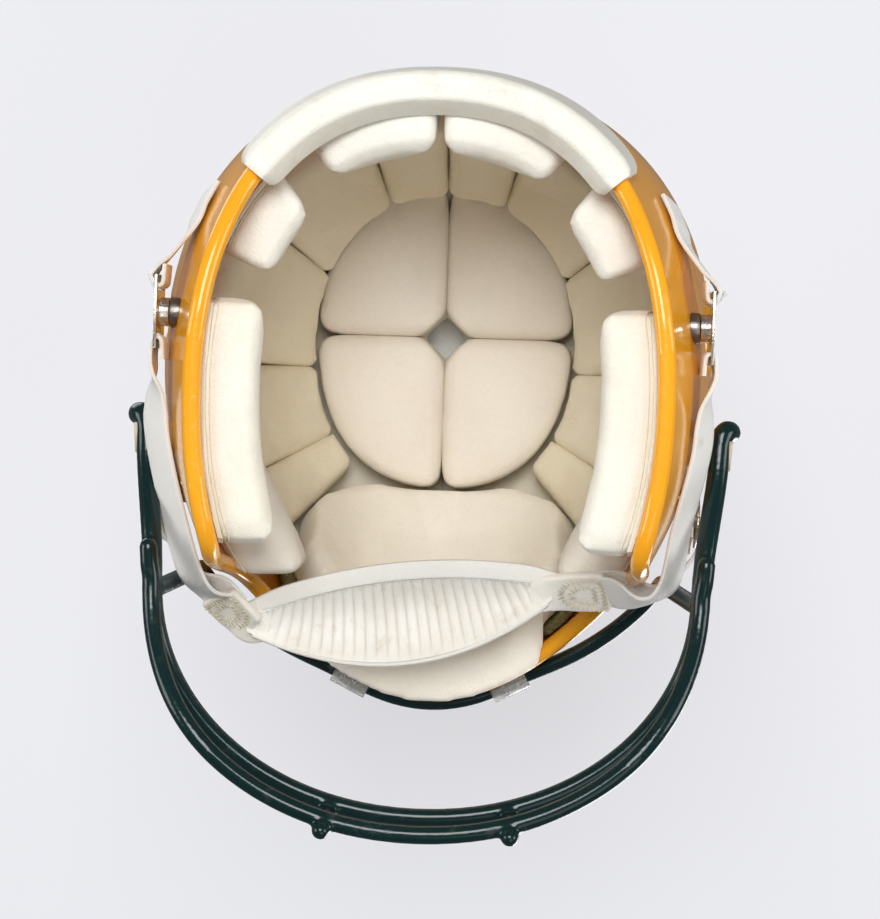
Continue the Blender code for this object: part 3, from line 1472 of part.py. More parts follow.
def corner_point(side, y, z, out):
    """Where a web turns round the jaw flap, a distance sideways of the shell's surface."""
    return Vector((side * (side_x(y, z, 0.0) + out), y, z))


def cup_end(side):
    return cup_point(side, 0.0, CUP_LINER / 2)


def make_binding():
    """The smooth band along the cup's rear edge."""
    path = []
    outs = []
    for i in range(STRAP_STEPS + 1):
        u = BINDING_REACH_SHARE * (2 * i / STRAP_STEPS - 1)
        edge = cup_point(u, 1.0, CUP_LINER / 2)
        inner = cup_point(u, 1.0 - PAD_BACK_SHARE, CUP_LINER / 2)
        away = Vector((edge.x - inner.x, edge.y - inner.y, 0)).normalized()
        path.append(edge + away * (BINDING_WIDTH / 2 + 2 * GAP))
        outs.append(Vector((0, 0, 1)))
    strap("cup_binding", path, outs, BINDING_WIDTH, BINDING_THICKNESS, "white_vinyl")


def nearest(path, point):
    return min(range(len(path)), key=lambda i: (path[i] - point).length)


def web_outs(path, side, tab_end, corner, buckle, along_tilt):
    """The directions a web faces: downwards at the cup, outwards past the cheek, level at its buckle."""
    facing = Vector((side, -1, 0)).normalized()
    leave = nearest(path, tab_end)
    arrive = nearest(path, corner)
    outs = []
    for i, p in enumerate(path):
        level = surface_normal(p, 0.0)
        level.z = 0.0
        near_cup = 1 - smooth_share((i - leave) / (arrive - leave))
        from_buckle = smooth_share((p - buckle).length / BUCKLE_LENGTH)
        tilt = blend(along_tilt, STRAP_CUP_TILT, near_cup) * from_buckle
        level = blend(level.normalized(), facing, near_cup).normalized()
        outs.append(level * math.cos(tilt) - Vector((0, 0, 1)) * math.sin(tilt))
    return outs


def make_straps(clearance_shell):
    for side_name, side in SIDES:
        rear_corner = corner_point(side, REAR_CORNER_Y, REAR_CORNER_Z, REAR_CORNER_OUT)
        front_corner = corner_point(side, FRONT_CORNER_Y, FRONT_CORNER_Z, FRONT_CORNER_OUT)
        cup = cup_end(side)
        away = (rear_corner.lerp(front_corner, 0.5) - cup).normalized()
        start = cup + away * TAB_START
        length = (rear_corner - start).length * TAB_SHARE
        tab_end = start + away * length
        buckle = buckle_exit(side, REAR_STUD_Y, REAR_STUD_Z, 0.0, 1)
        route = [tab_end - away * GAP, rear_corner]
        for along, rise in reversed(REAR_ROUTE_SHARES):
            y = blend(buckle.y, rear_corner.y, along)
            z = blend(REAR_STUD_Z, rear_corner.z, rise)
            route.append(on_shell(side, y, z, STRAP_STAND_OFF))
        route.append(buckle)
        path = spline_points(route, STRAP_STEPS)
        outs = web_outs(path, side, tab_end, rear_corner, buckle, STRAP_TILT)
        web = strap(f"rear_strap_{side_name}", path, outs)
        clearance_web = strap("clearance_web", path, outs, STRAP_WIDTH + 2 * GAP, STRAP_THICKNESS + 2 * GAP)
        below = (outs[0] - away * outs[0].dot(away)).normalized()
        faces_below = [below] * (TAB_STEPS + 1)
        tab = strap("tab", even_points([start, tab_end], TAB_STEPS), faces_below, STRAP_WIDTH + 2 * GAP,
                    TAB_THICKNESS)
        boolean(web, tab, "UNION")
        clearance_tab = strap("clearance_tab", even_points([start, tab_end + away * GAP], TAB_STEPS),
                              faces_below, STRAP_WIDTH + 4 * GAP, TAB_THICKNESS + 2 * GAP)
        trim_at_buckle(web, side, REAR_STUD_Y, REAR_STUD_Z, 0.0)
        above = -below * (TAB_THICKNESS / 2 + STRAP_THICKNESS / 2 + 2 * GAP)
        buckle = buckle_exit(side, FRONT_STUD_Y, FRONT_STUD_Z, FRONT_BUCKLE_LEAN, 1)
        sewn = away * (length * TAB_SEWN_SHARE)
        route = [tab_end - sewn + above, tab_end + above, front_corner, buckle]
        path = spline_points(route, STRAP_STEPS)
        outs = web_outs(path, side, tab_end + above, front_corner, buckle, FRONT_STRAP_TILT)
        web = strap(f"front_strap_{side_name}", path, outs)
        boolean(web, clearance_web, "DIFFERENCE")
        boolean(web, clearance_tab, "DIFFERENCE")
        trim_by(web, clearance_shell)
        trim_at_buckle(web, side, FRONT_STUD_Y, FRONT_STUD_Z, FRONT_BUCKLE_LEAN)
        make_tail(f"rear_tail_{side_name}", side, REAR_STUD_Y, REAR_STUD_Z, 0.0, REAR_TAIL_LENGTH,
                  REAR_TAIL_RISE)
        make_tail(f"front_tail_{side_name}", side, FRONT_STUD_Y, FRONT_STUD_Z, FRONT_BUCKLE_LEAN,
                  FRONT_TAIL_LENGTH, FRONT_TAIL_RISE)


def make_tail(name, side, stud_y, stud_z, lean, length, rise):
    """The strap's free end beyond its buckle, lying back along the shell."""
    close = STRAP_THICKNESS / 2 + STRAP_CLEARANCE
    start = buckle_exit(side, stud_y, stud_z, lean, -1)
    route = [start]
    for share in TAIL_SHARES:
        route.append(on_shell(side, start.y + length * share, start.z + rise * share, close))
    path = spline_points(route, TAIL_STEPS)
    web = strap(name, path, [surface_normal(p, 0.0) for p in path])
    return trim_at_buckle(web, side, stud_y, stud_z, lean)


def shift_to_origin():
    """Move all pieces so that the plan's middle lies on the origin."""
    front = MASK_FRONT_Y - MASK_LOWER_FORWARD - WIRE_RADIUS
    back = CENTRE_Y_WIDE + REAR_REACH_WIDE
    move = Matrix.Translation((0, -(front + back) / 2, 0))
    for item in bpy.data.objects:
        if item.parent is None:
            item.matrix_world = move @ item.matrix_world


def main():
    clear_scene()
    rim = rim_path()
    shell = make_shell("shell", rim, 0.0)
    cut_ear_holes(shell)
    clearance_shell = make_shell("clearance_shell", rim, GAP)
    outer_solid = dome_solid("outer_solid", GAP, "yellow_shell")
    make_bumper(rim, clearance_shell)
    upper, brow = make_mask()
    for side_name, side in SIDES:
        make_stud(f"rear_stud_{side_name}", side, REAR_STUD_Y, REAR_STUD_Z, outer_solid)
        make_stud(f"front_stud_{side_name}", side, FRONT_STUD_Y, FRONT_STUD_Z, outer_solid)
        make_buckle(f"rear_buckle_{side_name}", side, REAR_STUD_Y, REAR_STUD_Z, 0.0)
        make_buckle(f"front_buckle_{side_name}", side, FRONT_STUD_Y, FRONT_STUD_Z, FRONT_BUCKLE_LEAN)
    make_clips(upper, brow, outer_solid)
    make_crown()
    make_cells()
    make_forehead(clearance_shell)
    make_jaw_pads()
    make_temple_pads(clearance_shell)
    make_neck_pads()
    make_cup()
    make_binding()
    make_straps(clearance_shell)
    bpy.data.objects.remove(clearance_shell)
    bpy.data.objects.remove(outer_solid)
    shift_to_origin()


main()
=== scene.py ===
# Football helmet with wire face mask: the looks, as a lesson in building a real object in Blender.

# %% [markdown]
# The imported model is the fixed frame. Every piece that is made here, except the front webs and the webs'
# free ends, rides on one of its bodies, so a hinged chin cup still swings and a snapped jaw pad still slides.
# All sizes are in metres.

# %% Load the frame and keep its box
import json
import math
from contextlib import contextmanager

import bmesh
import bpy
from mathutils import Matrix, Vector
from mathutils.bvhtree import BVHTree
from mathutils.kdtree import KDTree

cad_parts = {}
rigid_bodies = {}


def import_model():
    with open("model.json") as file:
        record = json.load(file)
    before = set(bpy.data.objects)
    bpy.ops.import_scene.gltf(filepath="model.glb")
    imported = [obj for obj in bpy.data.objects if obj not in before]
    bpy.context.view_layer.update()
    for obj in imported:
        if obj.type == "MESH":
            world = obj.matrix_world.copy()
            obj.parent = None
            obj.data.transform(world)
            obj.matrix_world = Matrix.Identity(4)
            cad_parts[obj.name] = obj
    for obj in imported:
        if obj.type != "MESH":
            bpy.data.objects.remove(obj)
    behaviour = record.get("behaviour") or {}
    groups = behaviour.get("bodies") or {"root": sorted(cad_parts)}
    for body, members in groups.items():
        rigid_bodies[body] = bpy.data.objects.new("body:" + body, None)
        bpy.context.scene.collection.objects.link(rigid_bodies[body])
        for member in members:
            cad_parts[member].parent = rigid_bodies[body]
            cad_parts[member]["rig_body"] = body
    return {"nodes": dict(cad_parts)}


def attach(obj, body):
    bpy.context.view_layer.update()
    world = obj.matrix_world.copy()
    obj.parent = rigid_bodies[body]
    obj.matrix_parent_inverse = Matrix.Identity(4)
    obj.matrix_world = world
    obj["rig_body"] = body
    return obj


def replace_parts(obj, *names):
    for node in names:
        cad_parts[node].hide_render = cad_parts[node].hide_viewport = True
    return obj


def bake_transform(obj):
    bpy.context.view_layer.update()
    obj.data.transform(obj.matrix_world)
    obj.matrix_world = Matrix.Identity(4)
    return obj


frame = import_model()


def new_object(name, data):
    """A new object with this data, linked to the scene."""
    item = bpy.data.objects.new(name, data)
    bpy.context.scene.collection.objects.link(item)
    return item


@contextmanager
def reshaping(mesh):
    """A mesh's editable shape, written back at the end."""
    shape = bmesh.new()
    shape.from_mesh(mesh)
    yield shape
    shape.to_mesh(mesh)
    shape.free()


def mirrored(points):
    """The same points on the other side of the head."""
    return [Vector((-p.x, p.y, p.z)) for p in points]


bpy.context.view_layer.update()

# %% [markdown]
# The helmet is described about the head that wears it, and stands a little forward of the origin so that
# the mask and the bumper are equally far from it. A point is laid out about the head and moved once.

# %% The move from the head to the origin
HEAD_MOVE = Vector((0.0, 0.04635, 0.0))
LEFT, RIGHT = 1, -1
SIDES = (("left", LEFT), ("right", RIGHT))

# %% [markdown]
# The camera looks straight up into the helmet. Two things of the picture fix it: the point towards which
# all upright lines run, and the small lean of the front-to-back line. The distance follows from the size.

# %% Camera
PICTURE_WIDE, PICTURE_HIGH = 880, 919
FOCAL_PIXELS = 2434.0                 # focal length in pixels of the picture
UPRIGHT_PIXEL = (516.0, 400.0)        # where upright lines meet
ORIGIN_PIXEL = (430.0, 336.0)         # where the head's origin lies
LEAN = math.radians(1.9)              # how far the front-to-back line leans
CAMERA_DISTANCE = 1.010
SENSOR = 36.0


def sight(pixel):
    """The direction of a picture point in the camera's own axes: right, down and forward."""
    x, y = pixel
    return Vector(((x - PICTURE_WIDE / 2) / FOCAL_PIXELS, (y - PICTURE_HIGH / 2) / FOCAL_PIXELS, 1.0))


upright = sight(UPRIGHT_PIXEL).normalized()
backward = Vector((math.sin(LEAN), -math.cos(LEAN), 0.0))
backward = (backward - upright * backward.dot(upright)).normalized()
turn = Matrix((backward.cross(upright), backward, upright))      # from the camera's axes to the head's
camera_data = bpy.data.cameras.new("camera")
camera_data.sensor_width = SENSOR
camera_data.lens = FOCAL_PIXELS / PICTURE_HIGH * SENSOR
camera_data.clip_start = 0.05
camera = new_object("camera", camera_data)
axes = Matrix((turn @ Vector((1, 0, 0)), turn @ Vector((0, -1, 0)), turn @ Vector((0, 0, -1)))).transposed()
camera.matrix_world = (Matrix.Translation(HEAD_MOVE - turn @ (sight(ORIGIN_PIXEL) * CAMERA_DISTANCE))
                       @ axes.to_4x4())
bpy.context.scene.camera = camera
bpy.context.scene.view_settings.view_transform = "Standard"
print("camera at", tuple(round(v, 4) for v in camera.location))

# %% [markdown]
# Node trees are written as plain maths. `Sum` wraps one socket of a tree: adding or multiplying two of
# them adds a Math node. `Maker` adds every other node: a type, its settings, then its sockets' values.

# %% Node maths


class Sum:
    """A number in a node tree, with Python's operators."""

    def __init__(self, maker, socket):
        self.maker = maker
        self.socket = socket


def operator(operation, swapped):
    """A method that adds one Math node."""
    def apply(self, other):
        pair = (other, self) if swapped else (self, other)
        return self.maker.math(operation, *pair)
    return apply


for word, operation in (("add", "ADD"), ("sub", "SUBTRACT"), ("mul", "MULTIPLY"), ("truediv", "DIVIDE"),
                        ("pow", "POWER")):
    setattr(Sum, f"__{word}__", operator(operation, False))
    setattr(Sum, f"__r{word}__", operator(operation, True))


class Maker:
    """Adds nodes to one tree."""

    def __init__(self, tree):
        self.tree = tree

    def node(self, kind, settings, values):
        made = self.tree.nodes.new(kind)
        for key, value in settings.items():
            if key == "stops":
                for stop, (place, colour) in zip(made.color_ramp.elements, value):
                    stop.position = place
                    stop.color = colour
            else:
                setattr(made, key, value)
        for key, value in values.items():
            value = value.socket if isinstance(value, Sum) else value
            if isinstance(value, bpy.types.NodeSocket):
                self.tree.links.new(value, made.inputs[key])
            else:
                made.inputs[key].default_value = value
        return made

    def sum(self, kind, settings, values, output=0):
        return Sum(self, self.node(kind, settings, values).outputs[output])

    def math(self, operation, *values):
        return self.sum("ShaderNodeMath", {"operation": operation}, dict(enumerate(values)))

    def between(self, value, low, high):
        """0 at the low value and 1 at the high one, with soft ends."""
        return self.sum("ShaderNodeMapRange", {"interpolation_type": "SMOOTHSTEP"},
                        {"Value": value, "From Min": low, "From Max": high})


class Finish(Maker):
    """A material with one Principled shader, whose fixed sockets are given by name."""

    def __init__(self, name, fixed):
        self.material = bpy.data.materials.new(name)
        self.material.use_nodes = True
        super().__init__(self.material.node_tree)
        self.tree.nodes.clear()
        self.shader = self.node("ShaderNodeBsdfPrincipled", {}, fixed)
        self.node("ShaderNodeOutputMaterial", {}, {"Surface": self.shader.outputs[0]})
        self.place = self.node("ShaderNodeTexCoord", {}, {}).outputs["Object"]

    def scaled(self, across):
        """The object's own coordinates, stretched: a bigger number makes a finer pattern that way."""
        return self.node("ShaderNodeMapping", {}, {"Vector": self.place, "Scale": across}).outputs[0]

    def noise(self, scale, detail=3.0, vector=None, distortion=0.0):
        return self.sum("ShaderNodeTexNoise", {}, {"Vector": vector or self.place, "Scale": scale,
                                                   "Detail": detail, "Distortion": distortion})

    def cells(self, scale, feature="F1", vector=None):
        return self.sum("ShaderNodeTexVoronoi", {"feature": feature},
                        {"Vector": vector or self.place, "Scale": scale})

    def mix(self, share, a, b, way="MIX"):
        """A colour between two: 0 gives a and 1 gives b."""
        colours = [(*c, 1.0) if isinstance(c, tuple) else c for c in (a, b)]
        made = self.node("ShaderNodeMix", {"data_type": "RGBA", "blend_type": way},
                         {0: share, 6: colours[0], 7: colours[1]})
        return made.outputs[2]

    def lines(self, scale, width, vector=None):
        """Thin winding lines, as fine scratches are: 1 on a line and 0 beside it."""
        away = self.math("ABSOLUTE", self.noise(scale, 2.0, vector, 0.6) - 0.5)
        return 1 - self.between(away, 0.0, width)

    def relief(self, *layers):
        """A normal from layers of height, each with its full height in metres."""
        normal = None
        for height, distance in layers:
            values = {"Height": height, "Distance": distance, "Strength": 1.0}
            if normal is not None:
                values["Normal"] = normal
            normal = self.node("ShaderNodeBump", {}, values).outputs[0]
        return normal

    def wear(self, values):
        """Links what changes over the surface into the shader."""
        for key, value in values.items():
            value = value.socket if isinstance(value, Sum) else value
            self.tree.links.new(value, self.shader.inputs[key])
        return self.material


print("node maths ready")

# %% [markdown]
# The shell is injection-moulded polycarbonate with its colour moulded through. It is glossy outside, with
# an orange-peel ripple too fine to see as such, hair scratches and a few pale scuffs where other helmets
# struck it. Inside it is duller, and its colour is drawn darker there as painted shade. A clear coat layer
# over a warm base gives the wet look.

# %% Finish: shell outside, shell inside


def make_shell_finish(name, deep, bright, scuff, roughness, coat):
    """A golden moulded plastic; scuff is how much of it is worn."""
    f = Finish(name, {"IOR": 1.5, "Specular IOR Level": 0.34, "Coat Roughness": 0.06, "Coat IOR": 1.5})
    cloud = f.noise(9.0, 4.0)
    scratch = f.lines(38.0, 0.006) * f.between(f.noise(16.0), 0.48, 0.62)
    rub = f.between(f.noise(70.0, 5.0, f.scaled((1.0, 0.35, 1.0))), 0.60, 0.70)
    rub = rub * f.between(f.noise(12.0), 0.55, 0.68) * scuff
    speck = 1 - f.between(f.cells(260.0), 0.02, 0.12)
    colour = f.mix(cloud, deep, bright)
    colour = f.mix(scratch * 0.10 * scuff, colour, (1.0, 0.62, 0.20))
    colour = f.mix(rub * 0.55, colour, (0.95, 0.80, 0.55))
    colour = f.mix(speck * 0.25 * scuff, colour, (0.25, 0.13, 0.03))
    gloss = roughness + rub * 0.30 + scratch * 0.08 + f.noise(45.0) * 0.06
    peel = f.noise(420.0, 1.0)
    return f.wear({"Base Color": colour, "Roughness": gloss, "Coat Weight": coat - rub * coat,
                   "Normal": f.relief((peel, 0.00006), (scratch, -0.00003))})


shell_gloss = make_shell_finish("shell_gloss", (0.86, 0.355, 0.010), (1.0, 0.44, 0.018), 1.0, 0.14, 0.30)
# the inside's darker colours are painted shade on the same moulded-through plastic
shell_inside = make_shell_finish("shell_inside", (0.50, 0.17, 0.006), (0.64, 0.24, 0.010), 0.35, 0.36, 0.08)
print("finishes:", shell_gloss.name, shell_inside.name)

# %% [markdown]
# The pads are foam in a soft vinyl skin, once white and now creamy. The skin has a pebbled grain of
# about a millimetre, slack ripples over the foam, yellowing in clouds and greyish rubbing. One function
# makes all the skins, because they differ only in colour and in age.

# %% Finish: vinyl skins


def make_vinyl(name, fresh, aged, grain, roughness=0.52, stain_and_crease_shade=(0.46, 0.36, 0.22), soil=0.5):
    """A vinyl skin; grain is how many pebbles lie in a metre."""
    f = Finish(name, {"IOR": 1.46, "Sheen Weight": 0.10, "Sheen Roughness": 0.5})
    cloud = f.between(f.noise(14.0, 5.0), 0.30, 0.72)
    rubbed = f.between(f.noise(42.0, 6.0), 0.56, 0.74)
    dot = (1 - f.between(f.cells(330.0), 0.03, 0.13)) * f.between(f.noise(30.0), 0.55, 0.66)
    pebble = f.cells(grain)
    crease = f.between(f.cells(grain * 0.16, "DISTANCE_TO_EDGE", f.scaled((1.0, 1.35, 0.8))), 0.0, 0.05)
    colour = f.mix(cloud, fresh, aged)
    colour = f.mix(rubbed * 0.16 * soil, colour, stain_and_crease_shade)
    colour = f.mix(dot * 0.5 * soil, colour, (0.20, 0.15, 0.10))
    # the grain's crease lines drawn a little darker in the stain colour: painted shade in the creases
    colour = f.mix((1 - crease) * 0.05, colour, stain_and_crease_shade)
    gloss = roughness + f.noise(60.0) * 0.14 - rubbed * 0.10
    ripple = f.noise(75.0, 2.0)
    normal = f.relief((ripple, 0.0006), (crease, 0.00005), (pebble, 0.00012))
    return f.wear({"Base Color": colour, "Roughness": gloss, "Normal": normal})


crown_vinyl = make_vinyl("crown_vinyl", (0.90, 0.84, 0.74), (0.87, 0.79, 0.68), 1250.0, 0.60, soil=0.4)
cell_vinyl = make_vinyl("cell_vinyl", (0.90, 0.83, 0.66), (0.86, 0.77, 0.57), 1100.0, 0.58, soil=0.6)
jaw_vinyl = make_vinyl("jaw_vinyl", (0.91, 0.89, 0.79), (0.89, 0.84, 0.71), 1100.0, 0.50)
neck_vinyl = make_vinyl("neck_vinyl", (0.91, 0.90, 0.82), (0.89, 0.86, 0.76), 1100.0, 0.48)
brow_vinyl = make_vinyl("brow_vinyl", (0.90, 0.85, 0.75), (0.87, 0.80, 0.68), 1250.0, 0.62, soil=0.4)
cup_vinyl = make_vinyl("cup_vinyl", (0.88, 0.86, 0.80), (0.80, 0.75, 0.64), 1400.0, 0.55, soil=0.7)
seam_vinyl = make_vinyl("seam_vinyl", (0.84, 0.78, 0.66), (0.74, 0.66, 0.50), 1400.0, 0.55, soil=0.9)
bumper_vinyl = make_vinyl("bumper_vinyl", (0.85, 0.84, 0.75), (0.80, 0.78, 0.68), 900.0, 0.36,
                          stain_and_crease_shade=(0.42, 0.30, 0.16), soil=1.3)
backing_vinyl = make_vinyl("backing_vinyl", (0.86, 0.82, 0.70), (0.74, 0.66, 0.50), 1200.0, 0.48, soil=1.0)
liner_vinyl = make_vinyl("liner_vinyl", (0.74, 0.75, 0.72), (0.66, 0.66, 0.62), 1200.0, 0.6, soil=0.8)
print("vinyl skins:", len([m for m in bpy.data.materials if "vinyl" in m.name]))

# %% [markdown]
# The mask is steel wire dipped in a soft dark green plastic. The dip is thick and glossy, gathers at the
# welds and is nicked where it hit the ground. Steel fasteners are nickel plated: bright, with fine
# scratches and brown tarnish in the corners.

# %% Finish: mask coating, plated steel


def make_coating():
    f = Finish("mask_coating", {"IOR": 1.5, "Specular IOR Level": 0.40})
    cloud = f.noise(22.0, 4.0)
    scratch = f.lines(60.0, 0.010) * f.between(f.noise(24.0), 0.52, 0.64)
    dust = f.between(f.noise(120.0, 6.0), 0.60, 0.72)
    colour = f.mix(cloud, (0.0012, 0.0125, 0.0135), (0.0026, 0.0215, 0.0215))
    colour = f.mix(scratch * 0.22, colour, (0.030, 0.085, 0.078))
    colour = f.mix(dust * 0.06, colour, (0.20, 0.22, 0.20))
    gloss = 0.15 + cloud * 0.06 + dust * 0.10 + scratch * 0.1
    normal = f.relief((f.noise(50.0, 1.0), 0.00012), (f.noise(500.0, 1.0), 0.00003), (scratch, -0.00002))
    return f.wear({"Base Color": colour, "Roughness": gloss, "Normal": normal})


def make_plate(name, bright, tarnish, roughness):
    f = Finish(name, {"IOR": 1.5})
    brush = f.noise(260.0, 3.0, f.scaled((1.0, 6.0, 1.0)))
    scratch = f.lines(150.0, 0.012)
    spot = f.between(f.noise(190.0, 5.0), 0.55, 0.70)
    colour = f.mix(spot * 0.7, bright, tarnish)
    gloss = roughness + brush * 0.10 + spot * 0.25 + scratch * 0.1
    return f.wear({"Base Color": colour, "Roughness": gloss, "Metallic": 1 - spot * 0.35,
                   "Normal": f.relief((brush, 0.00002), (scratch, -0.00004))})


mask_coating = make_coating()
plated_steel = make_plate("plated_steel", (0.66, 0.65, 0.62), (0.30, 0.22, 0.15), 0.16)
dark_steel = make_plate("dark_steel", (0.24, 0.22, 0.20), (0.10, 0.07, 0.05), 0.28)
print("finishes:", mask_coating.name, plated_steel.name, dark_steel.name)

# %% [markdown]
# Two clips on the brow are clear plastic and two at the sides are tan. The straps are woven polyester:
# their threads follow the strap, so the weave is drawn in the strap's own UV map, in metres along and
# across. The backing foam is a dull olive with open pores.

# %% Finish: clip plastics, webbing, thread, foam


def make_plastic(name, base, deep, roughness, fixed):
    f = Finish(name, {"IOR": 1.49, **fixed})
    cloud = f.noise(60.0, 4.0)
    scratch = f.lines(130.0, 0.010)
    colour = f.mix(cloud, base, deep)
    colour = f.mix(scratch * 0.15, colour, (0.9, 0.9, 0.86))
    return f.wear({"Base Color": colour, "Roughness": roughness + cloud * 0.10 + scratch * 0.2,
                   "Normal": f.relief((f.noise(240.0, 2.0), 0.00006), (scratch, -0.00003))})


def make_webbing(name, thread, pitch, fresh, aged):
    """Woven tape: ribs of thread along it and picks across it, from its UV map in metres."""
    f = Finish(name, {"IOR": 1.45, "Sheen Weight": 0.25, "Sheen Roughness": 0.4})
    uv = f.node("ShaderNodeUVMap", {"uv_map": "along"}, {}).outputs[0]
    split = f.node("ShaderNodeSeparateXYZ", {}, {"Vector": uv})
    along, across = Sum(f, split.outputs[0]), Sum(f, split.outputs[1])
    rib = f.math("ABSOLUTE", f.math("SINE", across * (math.pi / thread)))
    step = f.math("MODULO", f.math("FLOOR", across / thread), 2.0)
    pick = f.math("ABSOLUTE", f.math("SINE", (along + step * (pitch / 2)) * (math.pi / pitch)))
    weave = rib * (0.45 + pick * 0.55)
    grey = f.between(f.noise(26.0, 5.0), 0.40, 0.75)
    fuzz = f.noise(900.0, 2.0)
    colour = f.mix(grey * 0.8, fresh, aged)
    # darker between the threads: painted shade in the weave's hollows
    colour = f.mix((1 - weave) * 0.30, colour, (0.42, 0.40, 0.36))
    colour = f.mix(f.between(f.noise(60.0, 5.0), 0.60, 0.74) * 0.30, colour, (0.40, 0.33, 0.22))
    return f.wear({"Base Color": colour, "Roughness": 0.66 + fuzz * 0.2,
                   "Normal": f.relief((weave, 0.00022), (fuzz, 0.00005))})


def make_foam():
    f = Finish("olive_foam", {"IOR": 1.4})
    pore = f.between(f.cells(620.0), 0.10, 0.50)
    cloud = f.noise(30.0, 4.0)
    colour = f.mix(cloud, (0.30, 0.27, 0.105), (0.42, 0.38, 0.18))
    # the pores drawn near black: painted shade in the open pores
    colour = f.mix((1 - pore) * 0.5, colour, (0.10, 0.09, 0.04))
    return f.wear({"Base Color": colour, "Roughness": 0.86 + cloud * 0.1,
                   "Normal": f.relief((f.noise(80.0), 0.0006), (pore, 0.0003))})


clear_plastic = make_plastic("clear_plastic", (0.93, 0.93, 0.90), (0.86, 0.86, 0.82), 0.14,
                             {"Transmission Weight": 0.82})
tan_plastic = make_plastic("tan_plastic", (0.60, 0.53, 0.40), (0.50, 0.43, 0.31), 0.32, {})
strap_webbing = make_webbing("strap_webbing", 0.00105, 0.0016, (0.91, 0.90, 0.86), (0.83, 0.81, 0.75))
thread_finish = make_plastic("thread", (0.88, 0.82, 0.66), (0.78, 0.69, 0.50), 0.60, {})
white_thread = make_plastic("white_thread", (0.80, 0.79, 0.75), (0.66, 0.63, 0.56), 0.60, {})
olive_foam = make_foam()
print("materials:", len(bpy.data.materials))

# %% [markdown]
# The set is a pale sheet behind the helmet, as the camera below sees it, and a pale floor under it for
# every view from above. Each sheet shows from one side only and blocks no light. The world is plain soft
# daylight, with broad lamps below for the padding and above for the shell.

# %% Floor, backdrop, lamps, world
SHEET_REACH = 4.0
BACKDROP_Z = 0.46                     # well past the crown, so that the shadow on it is soft


def make_sheet(name, z, facing, colour, glow=(0.0, 0.0, 0.0)):
    """A wide sheet that is seen only from the side it faces."""
    f = Finish(name, {"Roughness": 0.9, "Specular IOR Level": 0.1, "Base Color": (*colour, 1.0),
                      "Emission Color": (*glow, 1.0), "Emission Strength": 1.0})
    cover = f.node("ShaderNodeBsdfTransparent", {}, {}).outputs[0]
    behind = f.node("ShaderNodeNewGeometry", {}, {}).outputs["Backfacing"]
    both = f.node("ShaderNodeMixShader", {}, {0: behind, 1: f.shader.outputs[0], 2: cover})
    f.node("ShaderNodeOutputMaterial", {"is_active_output": True}, {"Surface": both.outputs[0]})
    mesh = bpy.data.meshes.new(name)
    ring = [(-1, -1), (1, -1), (1, 1), (-1, 1)]
    ring = ring if facing > 0 else list(reversed(ring))
    mesh.from_pydata([(x * SHEET_REACH, y * SHEET_REACH, z) for x, y in ring], [], [(0, 1, 2, 3)])
    mesh.materials.append(f.material)
    sheet = new_object(name, mesh)
    for ray in ("shadow", "diffuse", "glossy", "transmission"):
        setattr(sheet, f"visible_{ray}", False)
    return sheet


def make_lamp(name, place, power, size):
    """A square soft lamp that faces the middle of the helmet."""
    data = bpy.data.lights.new(name, "AREA")
    data.energy = power
    data.size = size
    lamp = new_object(name, data)
    lamp.location = place
    lamp.visible_camera = False
    lamp.rotation_euler = (Vector((0, 0, 0.12)) - lamp.location).to_track_quat("-Z", "Y").to_euler()


make_sheet("floor", -0.0002, 1, (0.78, 0.78, 0.79))
make_sheet("backdrop", BACKDROP_Z, -1, (0.32, 0.325, 0.34), (0.50, 0.505, 0.53))
LAMPS = (("below_key", (0.06, 0.78, -2.25), 45.0, 1.1), ("below_fill", (-0.70, -1.00, -1.90), 6.0, 1.2),
         ("side_left", (1.90, 0.10, -0.70), 15.0, 1.0), ("side_right", (-1.90, 0.10, -0.70), 15.0, 1.0),
         ("above_key", (-1.0, -1.1, 1.5), 26.0, 1.2), ("above_back", (1.1, 1.3, 1.3), 14.0, 1.4))
for name, place, power, size in LAMPS:
    make_lamp(name, place, power, size)
world = bpy.data.worlds.new("daylight")
bpy.context.scene.world = world
world.use_nodes = True
w = Maker(world.node_tree)
w.tree.nodes.clear()
path = w.node("ShaderNodeLightPath", {}, {})
seen = w.math("MAXIMUM", Sum(w, path.outputs["Is Camera Ray"]), Sum(w, path.outputs["Is Transmission Ray"]))
sky = w.node("ShaderNodeBackground", {}, {"Color": (0.86, 0.86, 0.88, 1.0), "Strength": 0.20 + seen * 0.62})
w.node("ShaderNodeOutputWorld", {}, {"Surface": sky.outputs[0]})
print("lamps:", len(LAMPS))

# %% [markdown]
# Every piece ends as one plain mesh at the origin, with its place in its mesh. Three helpers do that:
# one makes an object from points laid out about the head, one freezes an object's modifiers, and one
# lets the finished piece ride on the body of the node that it stands for.

# %% Making pieces


def new_piece(name, points, faces, material, smooth_angle=40.0):
    """An object from points about the head, with smooth faces and sharp creases past an angle."""
    mesh = bpy.data.meshes.new(name)
    mesh.from_pydata([tuple(Vector(p) + HEAD_MOVE) for p in points], [], faces)
    mesh.materials.append(material)
    item = new_object(name, mesh)
    tidy_normals(item, smooth_angle)
    return item


def tidy_normals(item, smooth_angle):
    """Merge doubles, turn all faces outwards and keep only real creases sharp."""
    with reshaping(item.data) as shape:
        bmesh.ops.remove_doubles(shape, verts=shape.verts, dist=0.000002)
        bmesh.ops.recalc_face_normals(shape, faces=shape.faces)
    item.data.shade_smooth()
    item.data.set_sharp_from_angle(angle=math.radians(smooth_angle))


def freeze(item):
    """Keep what the modifiers made as the object's own mesh."""
    graph = bpy.context.evaluated_depsgraph_get()
    mesh = bpy.data.meshes.new_from_object(item.evaluated_get(graph))
    item.modifiers.clear()
    item.data = mesh
    return item


def add_step(item, name, kind, **settings):
    """A modifier with its settings."""
    step = item.modifiers.new(name, kind)
    for key, value in settings.items():
        setattr(step, key, value)
    return step


